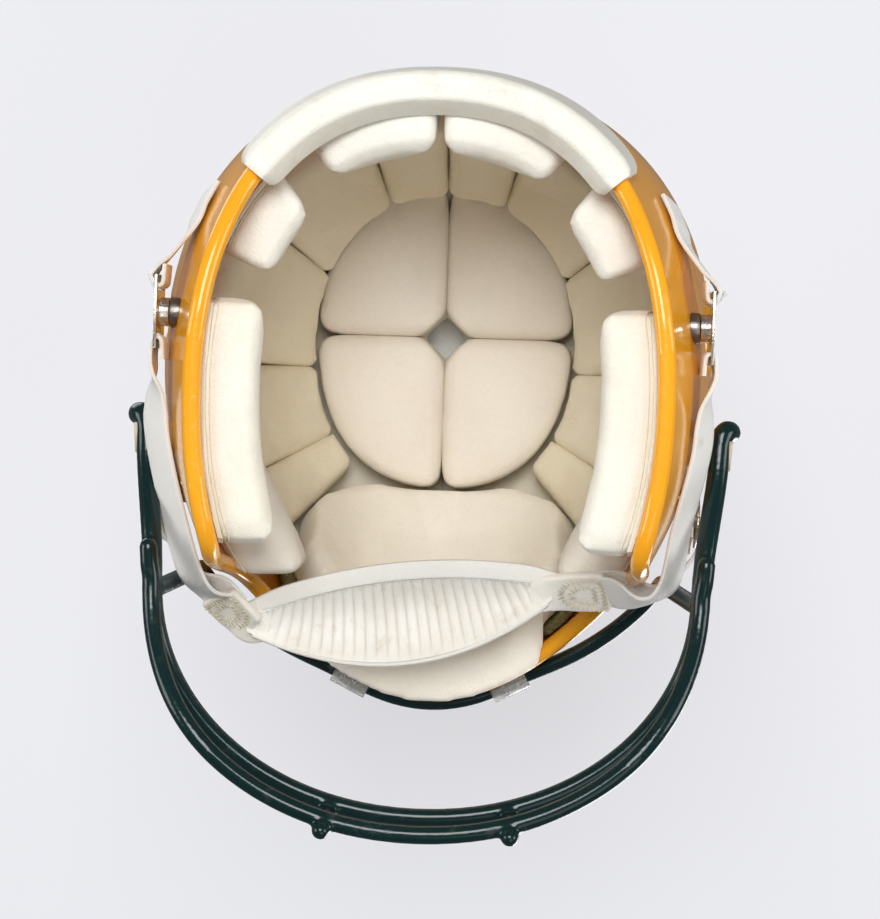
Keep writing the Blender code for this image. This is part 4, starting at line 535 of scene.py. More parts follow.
def combine(item, tool, operation):
    """Join, cut or trim by a tool that is then removed; faces keep the material of their solid."""
    add_step(item, "fit", "BOOLEAN", operation=operation, solver="EXACT", material_mode="TRANSFER",
             object=tool)
    freeze(item)
    bpy.data.objects.remove(tool)
    return item


def stand_for(item, *nodes):
    """The piece rides on these nodes' body and is shown in their place."""
    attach(item, frame["nodes"][nodes[0]]["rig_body"])
    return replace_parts(item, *nodes)


def lofted(rings, closed=False):
    """Points and faces through rings of points, capped at both ends unless the rings close."""
    sides = len(rings[0])
    count = len(rings)
    faces = []
    for i in range(count if closed else count - 1):
        low, high = i * sides, ((i + 1) % count) * sides
        faces += [(low + k, low + (k + 1) % sides, high + (k + 1) % sides, high + k) for k in range(sides)]
    if not closed:
        faces.append(tuple(reversed(range(sides))))
        faces.append(tuple(range((count - 1) * sides, count * sides)))
    return [p for ring in rings for p in ring], faces


def even(points, steps):
    """The polyline's points spread evenly: steps + 1 of them."""
    lengths = [0.0]
    for a, b in zip(points, points[1:]):
        lengths.append(lengths[-1] + (b - a).length)
    result, place = [], 0
    for i in range(steps + 1):
        target = lengths[-1] * i / steps
        while place < len(points) - 2 and lengths[place + 1] < target:
            place += 1
        span = lengths[place + 1] - lengths[place]
        result.append(points[place].lerp(points[place + 1], min((target - lengths[place]) / span, 1.0)))
    return result


def curve_through(points, steps, fine=24):
    """Points spread evenly along a smooth curve through the given ones."""
    points = [Vector(p) for p in points]
    result = []
    for i in range(len(points) - 1):
        a, b = points[max(i - 1, 0)], points[i]
        c, d = points[i + 1], points[min(i + 2, len(points) - 1)]
        for k in range(fine):
            t = k / fine
            result.append(0.5 * (2 * b + (c - a) * t + (2 * a - 5 * b + 4 * c - d) * t ** 2
                                 + (3 * b - a - 3 * c + d) * t ** 3))
    return even(result + [points[-1]], steps)


def headings(path, closed=False):
    count = len(path)
    result = []
    for i in range(count):
        before = path[i - 1] if closed else path[max(i - 1, 0)]
        after = path[(i + 1) % count] if closed else path[min(i + 1, count - 1)]
        result.append((after - before).normalized())
    return result


def eased(path, rounds):
    """The path with its bends eased; its ends stay."""
    for _ in range(rounds):
        middle = [(a + b * 2 + c) / 4 for a, b, c in zip(path, path[1:], path[2:])]
        path = [path[0]] + middle + [path[-1]]
    return path


def tube(path, radii, sides, closed=False):
    """Points and faces of a round bar along a path; radii is one radius, or one for each point."""
    along = headings(path, closed)
    side = along[0].orthogonal().normalized()
    rings = []
    for i, (centre, d) in enumerate(zip(path, along)):
        side = (side - d * side.dot(d)).normalized()
        other = d.cross(side)
        radius = radii[i] if isinstance(radii, list) else radii
        turns = [2 * math.pi * k / sides for k in range(sides)]
        rings.append([centre + (side * math.cos(t) + other * math.sin(t)) * radius for t in turns])
    return lofted(rings, closed)


def gathered(parts):
    """One list of points and one of faces from several."""
    points, faces = [], []
    for some_points, some_faces in parts:
        faces += [tuple(i + len(points) for i in face) for face in some_faces]
        points += some_points
    return points, faces


print("piece helpers ready")

# %% [markdown]
# The shell follows a rule: every level section is two half ovals, wide at the cheekbones, drawn in
# towards the jaw, and shrinking to the crown as a dome does. The same rule tells pads, studs and straps
# where the wall is, so nothing floats. `grow` asks for the surface a distance outside the moulded one.

# %% The shell's rule
SHELL_WALL = 0.0040
SHELL_HEIGHT = 0.255
WIDEST_Z = 0.120
HALF_WIDTHS = (0.100, 0.126)          # at the jaw and at the widest level
CENTRES_Y = (-0.023, -0.010)
FRONT_REACHES = (0.128, 0.157)
REAR_REACHES = (0.128, 0.132)
FRONT_POWERS = (2.35, 2.0)
FRONT_TAPERS = (0.0, 0.21)
REAR_TAPERS = (0.08, 0.0)
REAR_POWER = 2.25
FLARE = 1.6
DOME_POWER = 2.2
CROWN_Y = -0.016
HALVINGS = 36                         # steps of a search by halves


def mixed(pair, share):
    return pair[0] + (pair[1] - pair[0]) * share


def ease(value):
    value = min(max(value, 0.0), 1.0)
    return value * value * (3 - 2 * value)


def signed_power(value, power):
    return math.copysign(abs(value) ** power, value)


def half_oval(z, rear, grow):
    """Half width, centre, reach, power and taper of one half of the level section."""
    share = ease(z / WIDEST_Z)
    draw = max((WIDEST_Z - z) / WIDEST_Z, 0.0) ** FLARE
    reach = mixed(REAR_REACHES if rear else FRONT_REACHES, share) + grow
    power = REAR_POWER if rear else mixed(FRONT_POWERS, share)
    taper = mixed(REAR_TAPERS if rear else FRONT_TAPERS, share)
    return mixed((HALF_WIDTHS[1], HALF_WIDTHS[0]), draw) + grow, mixed(CENTRES_Y, share), reach, power, taper


def dome_scale(z, grow):
    lift = min(max((z - WIDEST_Z) / (SHELL_HEIGHT + grow - WIDEST_Z), 0.0), 1.0)
    return (1 - lift ** DOME_POWER) ** (1 / DOME_POWER), mixed((CENTRES_Y[1], CROWN_Y), lift)


def shell_point(turn, z, grow=0.0):
    """The surface at a height; turn 0 is the rear, and a quarter turn the left side."""
    half, centre, reach, power, taper = half_oval(min(z, WIDEST_Z), math.cos(turn) >= 0, grow)
    along = signed_power(math.cos(turn), 2 / power)
    x = half * (1 - taper * along * along) * signed_power(math.sin(turn), 2 / power)
    if z <= WIDEST_Z:
        return Vector((x, centre + reach * along, z))
    shrink, dome_centre = dome_scale(z, grow)
    return Vector((x * shrink, dome_centre + reach * along * shrink, z))


def depth_in(point, grow=0.0):
    """Below 1 inside the surface and above 1 outside it."""
    x, y, z = point
    if z > SHELL_HEIGHT + grow:
        return 2.0
    shrink, centre = dome_scale(z, grow) if z > WIDEST_Z else (1.0, None)
    if centre is None:
        centre = half_oval(z, True, grow)[1]
    half, _, reach, power, taper = half_oval(min(z, WIDEST_Z), y >= centre, grow)
    along = (y - centre) / (reach * shrink) if shrink > 0 else 2.0
    if abs(along) >= 1:
        return abs(along) ** power + 1
    return abs(along) ** power + abs(x / (half * shrink * (1 - taper * along * along))) ** power


def reach_along(origin, direction, grow=0.0):
    """How far a line from inside the head runs to the surface."""
    near, far = 0.0, SHELL_HEIGHT + HALF_WIDTHS[1]
    for _ in range(HALVINGS):
        middle = (near + far) / 2
        near, far = (middle, far) if depth_in(origin + direction * middle, grow) < 1 else (near, middle)
    return near


def side_x(y, z, grow=0.0):
    return reach_along(Vector((0, y, z)), Vector((1, 0, 0)), grow)


def outwards(point, step=0.0005):
    """The surface's outward direction near a point."""
    slopes = []
    for axis in range(3):
        shift = Vector((0, 0, 0))
        shift[axis] = step
        slopes.append(depth_in(point + shift) - depth_in(point - shift))
    return Vector(slopes).normalized()


print("half width at the cheek:", round(side_x(0.0, WIDEST_Z), 4))

# %% [markdown]
# The rim runs from the nape under the jaw flaps and up round the face to the brow. It is given as
# stations on the rule above: a share of the section's half length and a share of the height, joined by a
# smooth curve. Seen from the side it is also the outline that the shell is cut to.

# %% The rim's path
RIM_LOW_Z, NECK_EDGE_Z, BROW_EDGE_Z = 0.0036, 0.036, 0.138
NECK_RIM = ((1.0, 1.0), (0.93, 0.86), (0.72, 0.60), (0.51, 0.22), (0.30, 0.03))
JAW_RIM = (0.10, -0.15, -0.34)
FACE_RIM = ((-0.50, 0.035), (-0.570, 0.14), (-0.600, 0.42), (-0.625, 0.70),
            (-0.68, 0.87), (-0.80, 0.955), (-0.93, 0.99), (-1.0, 1.0))
RIM_STEPS = 150
RIM_RADIUS = 0.0040


def rim_path():
    """The left half of the rim's centre line, in the middle of the wall."""
    stations = [(along, mixed((RIM_LOW_Z, NECK_EDGE_Z), high), REAR_POWER) for along, high in NECK_RIM]
    stations += [(along, RIM_LOW_Z, FRONT_POWERS[0]) for along in JAW_RIM]
    for along, high in FACE_RIM:
        z = mixed((RIM_LOW_Z, BROW_EDGE_Z), high)
        stations.append((along, z, half_oval(min(z, WIDEST_Z), False, 0.0)[3]))
    flat = [Vector((math.acos(signed_power(along, power / 2)) * HALF_WIDTHS[0], z, 0.0))
            for along, z, power in stations]
    points = []
    for p in curve_through(flat, 3 * RIM_STEPS):
        turn = min(max(p.x / HALF_WIDTHS[0], 0.0), math.pi)
        points.append(shell_point(turn, max(p.y, RIM_LOW_Z), -SHELL_WALL / 2))
    points[0].x = points[-1].x = 0.0
    return even(points, RIM_STEPS)


rim = rim_path()
rim_loop = rim + mirrored(reversed(rim[1:-1]))
print("rim:", len(rim_loop), "points")

# %% [markdown]
# The shell is the dome minus a smaller dome, cut to the rim's outline and to the ear holes, with the
# rolled bead joined on. Each solid has its own finish, and the cuts keep it: gloss outside, dull inside, with
# the inside's colour drawn darker as painted shade.

# %% Shell
SHELL_COLUMNS, LOW_ROWS, DOME_ROWS = 160, 20, 34
OVERRUN = 0.030
EAR_HOLE = Vector((0.0, 0.004, 0.088))
EAR_RADIUS = 0.016


def dome(name, grow, material):
    heights = [-OVERRUN] + [WIDEST_Z * i / LOW_ROWS for i in range(LOW_ROWS)]
    top = SHELL_HEIGHT + grow - WIDEST_Z
    for i in range(DOME_ROWS):
        heights.append(WIDEST_Z + top * math.sin(math.pi / 2 * i / DOME_ROWS) ** (2 / DOME_POWER))
    rings = []
    for z in heights:
        rings.append([shell_point(2 * math.pi * k / SHELL_COLUMNS, z, grow) for k in range(SHELL_COLUMNS)])
    points, faces = lofted(rings)
    faces.pop()
    last = len(points) - SHELL_COLUMNS
    points.append(Vector((0, CROWN_Y, SHELL_HEIGHT + grow)))
    faces += [(last + k, last + (k + 1) % SHELL_COLUMNS, len(points) - 1) for k in range(SHELL_COLUMNS)]
    return new_piece(name, points, faces, material)


def rim_cutter():
    """A prism across the helmet that takes away the face opening and all below the rim."""
    outline = [(p.y, p.z) for p in rim]
    front, rear, low = -FRONT_REACHES[1] - 2 * OVERRUN, REAR_REACHES[1] + OVERRUN, -2 * OVERRUN
    outline += [(front, rim[-1].z), (front, low), (rear, low), (rear, rim[0].z)]
    reach = HALF_WIDTHS[1] + OVERRUN
    rings = [[Vector((x, y, z)) for y, z in outline] for x in (-reach, reach)]
    points, faces = lofted(rings)
    return new_piece("rim_cutter", points, faces, shell_gloss)


def rim_bead(sides=16):
    rings = []
    for centre, d in zip(rim_loop, headings(rim_loop, True)):
        out = outwards(centre)
        out.z = 0.0
        out = (out - d * out.dot(d)).normalized()
        down = d.cross(out)
        ring = []
        for k in range(sides):
            angle = 2 * math.pi * (k + 0.5) / sides
            p = centre + (out * math.cos(angle) + down * math.sin(angle)) * RIM_RADIUS
            ring.append(Vector((p.x, p.y, max(p.z, 0.0))))
        rings.append(ring)
    points, faces = lofted(rings, True)
    return new_piece("rim_bead", points, faces, shell_gloss)


shell = dome("helmet_shell", 0.0, shell_gloss)
combine(shell, dome("hollow", -SHELL_WALL, shell_inside), "DIFFERENCE")
combine(shell, rim_cutter(), "DIFFERENCE")
for _, side in SIDES:
    middle = EAR_HOLE + Vector((side * side_x(EAR_HOLE.y, EAR_HOLE.z), 0, 0))
    run = Vector((OVERRUN, 0, 0))
    points, faces = tube([middle - run, middle + run], EAR_RADIUS, 64)
    combine(shell, new_piece("ear_hole", points, faces, shell_gloss), "DIFFERENCE")
combine(shell, rim_bead(), "UNION")
tidy_normals(shell, 32.0)
stand_for(shell, "shell")
print("shell:", len(shell.data.polygons), "faces,", [m.name for m in shell.data.materials])

# %% [markdown]
# The rear bumper is a soft white channel that clips over the neck edge: a thick outer band, a flat lower
# face and an inner face that slants in over the rim. One cross-section is swept along the neck part of the
# rim; its upper part leans with the shell, gets lower towards the ends, and the ends are rounded off.

# %% Rear bumper
BUMPER_OUT, BUMPER_IN, BUMPER_DOWN, BUMPER_UP = 0.0078, 0.0052, 0.0085, 0.030
BUMPER_LIP = 0.0118                   # how far in the slanting inner face runs
BUMPER_END_SHARE = 0.665
BUMPER_TAPER = 0.45
BUMPER_END_ROUND = 0.009
BUMPER_STEPS = 96
FIT = 0.0004


def rounded(corners, radii, steps):
    """A closed outline with each corner rounded by its own radius."""
    result = []
    for i, radius in enumerate(radii):
        corner = Vector(corners[i])
        before, after = Vector(corners[i - 1]) - corner, Vector(corners[(i + 1) % len(corners)]) - corner
        reach = min(radius, before.length * 0.48, after.length * 0.48)
        a, b = corner + before.normalized() * reach, corner + after.normalized() * reach
        for k in range(steps + 1):
            t = k / steps
            result.append(a * (1 - t) ** 2 + corner * (2 * t * (1 - t)) + b * (t * t))
    return result


def bumper_outline():
    """The channel's section about the rim's centre: outwards and upwards."""
    wall, bead = SHELL_WALL / 2 + FIT, RIM_RADIUS + FIT
    outer = [(-BUMPER_LIP, bead * 0.9), (-BUMPER_IN, -BUMPER_DOWN), (BUMPER_OUT, -BUMPER_DOWN),
             (BUMPER_OUT, BUMPER_UP), (wall, BUMPER_UP)]
    inner = [(wall, bead * 0.9)] + [(bead * math.cos(t), bead * math.sin(t))
                                    for t in (0.45, 0.0, -0.8, -1.6, -2.4, -math.pi)] + [(-bead, bead * 0.9)]
    return rounded(outer + inner, [0.0014, 0.0018, 0.0050, 0.0036, 0.0008] + [0.0006] * len(inner), 5)


def lean_of(centre, high):
    """How far the wall moves outwards over a height above the rim."""
    origin = Vector((0, CENTRES_Y[1], centre.z))
    level = Vector((centre.x, centre.y - CENTRES_Y[1], 0)).normalized()
    return reach_along(origin + Vector((0, 0, high)), level) - reach_along(origin, level)


_, neck_centre, neck_reach, _, _ = half_oval(NECK_EDGE_Z, True, 0.0)
neck = [p for p in rim if p.y >= neck_centre + neck_reach * BUMPER_END_SHARE]
neck = even(mirrored(reversed(neck[1:])) + neck, BUMPER_STEPS)
neck_length = sum((b - a).length for a, b in zip(neck, neck[1:]))
rings = []
for i, centre in enumerate(neck):
    out = outwards(centre)
    level = Vector((out.x, out.y, 0)).normalized()
    taper = 1.0 - BUMPER_TAPER * abs(2 * i / BUMPER_STEPS - 1) ** 4
    from_end = min(i, BUMPER_STEPS - i) / BUMPER_STEPS * neck_length
    t = max(1 - from_end / BUMPER_END_ROUND, 0.0)
    draw = 1 - 0.42 * (1 - math.sqrt(max(1 - t * t, 0.0)))
    slope = lean_of(centre, BUMPER_UP * taper) / (BUMPER_UP * taper)
    ring = []
    for n, h in bumper_outline():
        high = h * taper if h > 0 else h
        beyond = n - SHELL_WALL / 2 if n > 0 else n + RIM_RADIUS
        n = n if abs(n) < RIM_RADIUS + FIT * 2 else n - beyond * (1 - draw)
        high = high if high > -RIM_RADIUS - FIT * 2 else high - (high + RIM_RADIUS) * (1 - draw)
        ring.append(centre + level * (n + (slope * high if high > 0 else 0.0)) + Vector((0, 0, high)))
    rings.append(ring)
points, faces = lofted(rings)
bumper = new_piece("neck_bumper", points, faces, bumper_vinyl, 50.0)
stand_for(bumper, "rear_bumper")
print("bumper:", len(bumper.data.polygons), "faces, along", round(neck_length, 3), "m")

# %% [markdown]
# The mask is wire, bent and welded, then dipped. The wires are swept as round bars that overlap at the
# welds, and one voxel remesh melts them into a single skin, as the dip does. A few rounds of smoothing
# leave a soft fillet at each weld. The rear ends are rolled into short thick hooks.

# %% Face mask
WIRE_RADIUS = 0.0040
SIDE_RADIUS = 0.0047                  # where the side bars are thickest
MASK_HALF_WIDTH, MASK_REAR_HALF_WIDTH = 0.1195, 0.1275
MASK_FRONT_Y, MASK_WAIST_Y, MASK_REAR_Y, LOWER_FORWARD = -0.2105, -0.108, -0.0425, 0.0005
MASK_UPPER_Z, MASK_LOWER_Z, MASK_REAR_Z = 0.047, 0.0165, 0.070
MASK_POWER = 2.06
UPPER_BACK = 0.0015                   # how far the upper jaw bar stays behind the lower
LOWER_DROP = 1.4
MASK_STEPS = 90
UPRIGHT_X, UPRIGHT_OVERRUN = 0.040, 0.0045
BROW_BAR_Z, BROW_BAR_END_Z, BROW_BAR_END_Y = 0.1465, 0.103, -0.100
BROW_OUT, BROW_END_OUT = 0.0045, 0.0125
BROW_FALL, BROW_LEAVE = (0.42, 1.04), (0.38, 0.95)
SIDE_LINK_Y = -0.1135
DIP_VOXEL = 0.00085
BROW_RADIUS = 0.0038
LEADS, LEAD_DROP = ((0.0016, 0.014), (0.0010, 0.006)), 1.1      # where the lower bar lies along the upper one
HOOK = ((0.0008, 0.0038, 0.0005), (0.0026, 0.0058, 0.0020), (0.0044, 0.0056, 0.0060))
HOOK_SWELL, HOOK_STEPS = 1.12, 16


def jaw_bar(forward):
    """The round front of a jaw bar in plan, from the left side to the right."""
    reach = MASK_FRONT_Y - forward - MASK_WAIST_Y
    result = []
    for i in range(MASK_STEPS + 1):
        angle = math.pi * i / MASK_STEPS
        x = MASK_HALF_WIDTH * signed_power(math.cos(angle), 2 / MASK_POWER)
        result.append((x, MASK_WAIST_Y + reach * abs(math.sin(angle)) ** (2 / MASK_POWER)))
    return result


def upper_bar():
    front = [Vector((x, y, MASK_UPPER_Z)) for x, y in jaw_bar(-UPPER_BACK)]
    side = []
    for i in range(16):
        share = i / 16
        x = mixed((MASK_REAR_HALF_WIDTH, MASK_HALF_WIDTH), ease(share))
        z = mixed((MASK_REAR_Z, MASK_UPPER_Z), ease(share))
        side.append(Vector((x, mixed((MASK_REAR_Y, MASK_WAIST_Y), share), z)))
    return side + front + mirrored(reversed(side))


def lower_bar():
    result = []
    for x, y in jaw_bar(LOWER_FORWARD):
        share = (y - MASK_WAIST_Y) / (MASK_FRONT_Y - LOWER_FORWARD - MASK_WAIST_Y)
        z = mixed((MASK_UPPER_Z - WIRE_RADIUS, MASK_LOWER_Z), ease(share * LOWER_DROP))
        result.append(Vector((x, y, z)))
    lead = [Vector((MASK_HALF_WIDTH + wide, MASK_WAIST_Y + back, MASK_UPPER_Z - WIRE_RADIUS * LEAD_DROP))
            for wide, back in LEADS]
    return lead + result + mirrored(reversed(lead))


def brow_bar():
    """Across the forehead, then down and away from the shell to the cheeks."""
    half = []
    for i in range(41):
        share = i / 40
        fall = ease((share - BROW_FALL[0]) / (BROW_FALL[1] - BROW_FALL[0]))
        leave = ease((share - BROW_LEAVE[0]) / (BROW_LEAVE[1] - BROW_LEAVE[0]))
        z = mixed((BROW_BAR_Z, BROW_BAR_END_Z), fall)
        start, end = math.pi / 2, math.pi
        for _ in range(HALVINGS):
            middle = (start + end) / 2
            start, end = (middle, end) if shell_point(middle, z).y > BROW_BAR_END_Y else (start, middle)
        half.append(shell_point(mixed((math.pi, start), share), z, mixed((BROW_OUT, BROW_END_OUT), leave)))
    return list(reversed(half)) + mirrored(half[1:])


def place_on(path, axis, value):
    """The point of a path where one coordinate has a value, and the heading there."""
    for a, b in zip(path, path[1:]):
        if min(a[axis], b[axis]) <= value <= max(a[axis], b[axis]) and a[axis] != b[axis]:
            return a.lerp(b, (value - a[axis]) / (b[axis] - a[axis])), (b - a).normalized()
    return path[0], (path[1] - path[0]).normalized()


def capped_bar(path, radius=WIRE_RADIUS, sides=18):
    """A bar with round ends; radius is one number, or one for each point."""
    along = headings(path)
    radii = radius if isinstance(radius, list) else [radius] * len(path)
    caps_in, caps_out = [], []
    for angle in (80, 60, 35):
        t = math.radians(angle)
        caps_in.append((path[0] - along[0] * (radii[0] * math.sin(t)), radii[0] * math.cos(t)))
        caps_out.append((path[-1] + along[-1] * (radii[-1] * math.sin(t)), radii[-1] * math.cos(t)))
    stations = caps_in + list(zip(path, radii)) + list(reversed(caps_out))
    return tube([p for p, _ in stations], [r for _, r in stations], sides)


upper, lower, brow = eased(upper_bar(), 6), lower_bar(), brow_bar()
upper_path = even(upper, 200)
thick = [mixed((WIRE_RADIUS, SIDE_RADIUS), ease((p.y - MASK_WAIST_Y + 0.030) / 0.060)) for p in upper_path]
bars = [capped_bar(upper_path, thick), capped_bar(even(lower, 160)),
        capped_bar(even(brow, 110), BROW_RADIUS)]
for _, side in SIDES:
    top, _ = place_on(upper[20:-20], 0, side * UPRIGHT_X)
    bottom, _ = place_on(lower, 0, side * UPRIGHT_X)
    run = (bottom - top).normalized() * UPRIGHT_OVERRUN
    behind = Vector((0, WIRE_RADIUS, 0))
    bars.append(capped_bar(even([top - run - behind, bottom + run - behind], 12)))
    start = brow[0] if side == LEFT else brow[-1]
    end = Vector((side * MASK_HALF_WIDTH, SIDE_LINK_Y, MASK_UPPER_Z))
    bars.append(capped_bar(even([start, end], 16)))
    tip = upper[0] if side == LEFT else upper[-1]
    hook = curve_through([tip] + [tip + Vector((side * x, y, z)) for x, y, z in HOOK], HOOK_STEPS)
    bars.append(capped_bar(hook, [mixed((SIDE_RADIUS, SIDE_RADIUS * HOOK_SWELL), i / HOOK_STEPS)
                                  for i in range(HOOK_STEPS + 1)]))
points, faces = gathered(bars)
mask = new_piece("wire_mask", points, faces, mask_coating)
add_step(mask, "dip", "REMESH", mode="VOXEL", voxel_size=DIP_VOXEL * 1.0)
add_step(mask, "flow", "SMOOTH", factor=0.5, iterations=10)
freeze(mask)
mask.data.shade_smooth()
stand_for(mask, "facemask")
print("mask:", len(mask.data.polygons), "faces")

# %% [markdown]
# A pad is foam in a vinyl skin: a crowned face, sides that draw in, soft corners. Its solid in the frame
# has that form with few faces. So each pad starts as a copy of its solid, remeshed into even squares, eased
# until the facets are gone, and let out by what the easing took. Cloth then swells it from inside.

# %% Soft copies of the pads
PAD_VOXEL = 0.0024
HEAD_MIDDLE = Vector((0.0, -0.012, 0.100))


def merged_copy(node, name, material, quads=True):
    """A copy of a node's mesh with its loose triangles merged."""
    mesh = frame["nodes"][node].data.copy()
    mesh.materials.clear()
    mesh.materials.append(material)
    item = new_object(name, mesh)
    with reshaping(mesh) as shape:
        bmesh.ops.remove_doubles(shape, verts=shape.verts, dist=0.00001)
        if quads:
            bmesh.ops.join_triangles(shape, faces=shape.faces, angle_face_threshold=0.9,
                                     angle_shape_threshold=0.9)
        bmesh.ops.recalc_face_normals(shape, faces=shape.faces)
    mesh.shade_smooth()
    return item


def soft_start(node, material, let_out, rounds, voxel=PAD_VOXEL):
    """An even mesh of a pad, eased and let out again."""
    item = merged_copy(node, node + "_cushion", material)
    add_step(item, "squares", "REMESH", mode="VOXEL", voxel_size=voxel)
    add_step(item, "ease", "SMOOTH", factor=0.5, iterations=rounds)
    freeze(item)
    for vertex, normal in zip(item.data.vertices, [v.normal.copy() for v in item.data.vertices]):
        vertex.co += normal * let_out
    return item


# each pad's skin, how far it may swell, how far it is let out and its rounds of easing
PADS = {"crown_pad": (crown_vinyl, 0.0010, 0.0011, 4), "cell": (cell_vinyl, 0.0009, 0.0010, 4),
        "jaw_pad": (jaw_vinyl, 0.0007, 0.0003, 2), "nape_pad": (neck_vinyl, 0.0006, 0.0002, 1),
        "neck_side_pad": (neck_vinyl, 0.0006, 0.0002, 1), "forehead_pad": (brow_vinyl, 0.0014, 0.0006, 5),
        "temple_pad": (brow_vinyl, 0.0012, 0.0020, 3)}
LIP_BACK, LIP_Y, LIP_FADE = 0.0004, -0.145, 0.020      # the forehead pad ends just above the brow bar
HUB_PUSH, HUB_REACH = 0.0042, 0.015   # the four crown pads draw back where they meet
cushions = {}
for node in sorted(frame["nodes"]):
    for word, (material, cap, let_out, rounds) in PADS.items():
        if word in node:
            cushions[node] = (soft_start(node, material, let_out, rounds), cap)
for vertex in cushions["forehead_pad"][0].data.vertices:
    vertex.co.y += LIP_BACK * ease((LIP_Y + HEAD_MOVE.y - vertex.co.y) / LIP_FADE)
crown = {node: cushions[node][0].data.vertices for node in cushions if "crown_pad" in node}
hub_x = (min(v.co.x for n in crown for v in crown[n] if "left" in n)
         + max(v.co.x for n in crown for v in crown[n] if "right" in n)) / 2
hub_y = (max(v.co.y for n in crown for v in crown[n] if "front" in n)
         + min(v.co.y for n in crown for v in crown[n] if "rear" in n)) / 2
for vertex in (v for node in crown for v in crown[node]):
    x, y = vertex.co.x - hub_x, vertex.co.y - hub_y
    push = HUB_PUSH * ease((HUB_REACH - abs(x) - abs(y)) / HUB_REACH)
    vertex.co.x += math.copysign(push, x)
    vertex.co.y += math.copysign(push, y)
print("cushions:", len(cushions), "with", sum(len(c.data.vertices) for c, _ in cushions.values()), "points")

# %% [markdown]
# All cushions swell together in one run of twenty frames, with gravity off. Each point may move only a
# little, by the cap of its pad, so that neighbours still meet in a clean seam.

# %% Swelling the cushions
SWELL_FRAMES = 20
STUFFING = 4.0


def add_stuffing(item):
    cloth = item.modifiers.new("stuffing", "CLOTH")
    cloth.settings.quality = 4
    cloth.settings.mass = 0.3
    cloth.settings.tension_stiffness = 18
    cloth.settings.compression_stiffness = 12
    cloth.settings.bending_stiffness = 3
    cloth.settings.use_pressure = True
    cloth.settings.uniform_pressure_force = STUFFING
    cloth.settings.effector_weights.gravity = 0
    cloth.collision_settings.use_collision = False
    cloth.point_cache.frame_start = 1
    cloth.point_cache.frame_end = SWELL_FRAMES


def capped_swell(item, cap):
    """Keep the swollen shape, but let no point move further than the cap."""
    rest = [v.co.copy() for v in item.data.vertices]
    freeze(item)
    for vertex, start in zip(item.data.vertices, rest):
        move = vertex.co - start
        if move.length > cap:
            vertex.co = start + move.normalized() * cap


for cushion, _ in cushions.values():
    add_stuffing(cushion)
for number in range(1, SWELL_FRAMES + 1):
    bpy.context.scene.frame_set(number)
for cushion, cap in cushions.values():
    capped_swell(cushion, cap)
bpy.context.scene.frame_set(1)
for cushion, _ in cushions.values():
    add_step(cushion, "skin", "SUBSURF", levels=1, render_levels=1)
    add_step(cushion, "settle", "SMOOTH", factor=0.5, iterations=2)
    freeze(cushion)
    cushion.data.shade_smooth()
print("swollen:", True)

# %% [markdown]
# The welded seam of a vinyl pad is a fine bead that lies in a shallow groove. The groove is pressed into
# the mesh along the seam's path, point by point, and a Geometry Nodes tree sweeps a round bead along it.
# The same pattern of tree serves every seam, with the bead's radius as its input.

# %% Trees for seams and stitches


class GeoTree(Maker):
    """A Geometry Nodes tree with named inputs, which turns a mesh into another."""

    def __init__(self, name, inputs):
        super().__init__(bpy.data.node_groups.new(name, "GeometryNodeTree"))
        face = self.tree.interface
        face.new_socket("Geometry", in_out="OUTPUT", socket_type="NodeSocketGeometry")
        face.new_socket("Geometry", in_out="INPUT", socket_type="NodeSocketGeometry")
        self.keys = {}
        for label, kind in inputs.items():
            self.keys[label] = face.new_socket(label, in_out="INPUT", socket_type=kind).identifier
        self.given = self.node("NodeGroupInput", {}, {}).outputs

    def line(self, pitch=None):
        """The source's edges as a curve, with points at a pitch where one is given."""
        curve = self.node("GeometryNodeMeshToCurve", {}, {"Mesh": self.given["Geometry"]}).outputs[0]
        if pitch is not None:
            curve = self.node("GeometryNodeResampleCurve", {"mode": "LENGTH"},
                              {"Curve": curve, "Length": pitch}).outputs[0]
        return curve

    def swept(self, curve, radius):
        """A round thread along a curve."""
        ring = self.node("GeometryNodeCurvePrimitiveCircle", {},
                         {"Resolution": 6, "Radius": radius}).outputs[0]
        return self.node("GeometryNodeCurveToMesh", {}, {"Curve": curve, "Profile Curve": ring,
                                                         "Fill Caps": True}).outputs[0]

    def close(self, shape):
        """Realize, give the material and hand the result out."""
        real = self.node("GeometryNodeRealizeInstances", {}, {0: shape}).outputs[0]
        done = self.node("GeometryNodeSetMaterial", {},
                         {"Geometry": real, "Material": self.given["Material"]})
        self.node("NodeGroupOutput", {}, {0: done.outputs[0]})
        return self

    def grow(self, name, source, sizes):
        """Run the tree on a source object and keep what it makes as a new object's plain mesh."""
        step = source.modifiers.new("rule", "NODES")
        step.node_group = self.tree
        for label, value in sizes.items():
            step[self.keys[label]] = value
        graph = bpy.context.evaluated_depsgraph_get()
        mesh = bpy.data.meshes.new_from_object(source.evaluated_get(graph))
        mesh.name = name
        bpy.data.objects.remove(source)
        item = new_object(name, mesh)
        mesh.shade_smooth()
        return item


NUMBER, FINISH_SOCKET = "NodeSocketFloat", "NodeSocketMaterial"
bead_tree = GeoTree("seam_bead", {"Radius": NUMBER, "Material": FINISH_SOCKET})
bead_tree.close(bead_tree.swept(bead_tree.line(), bead_tree.given["Radius"]))

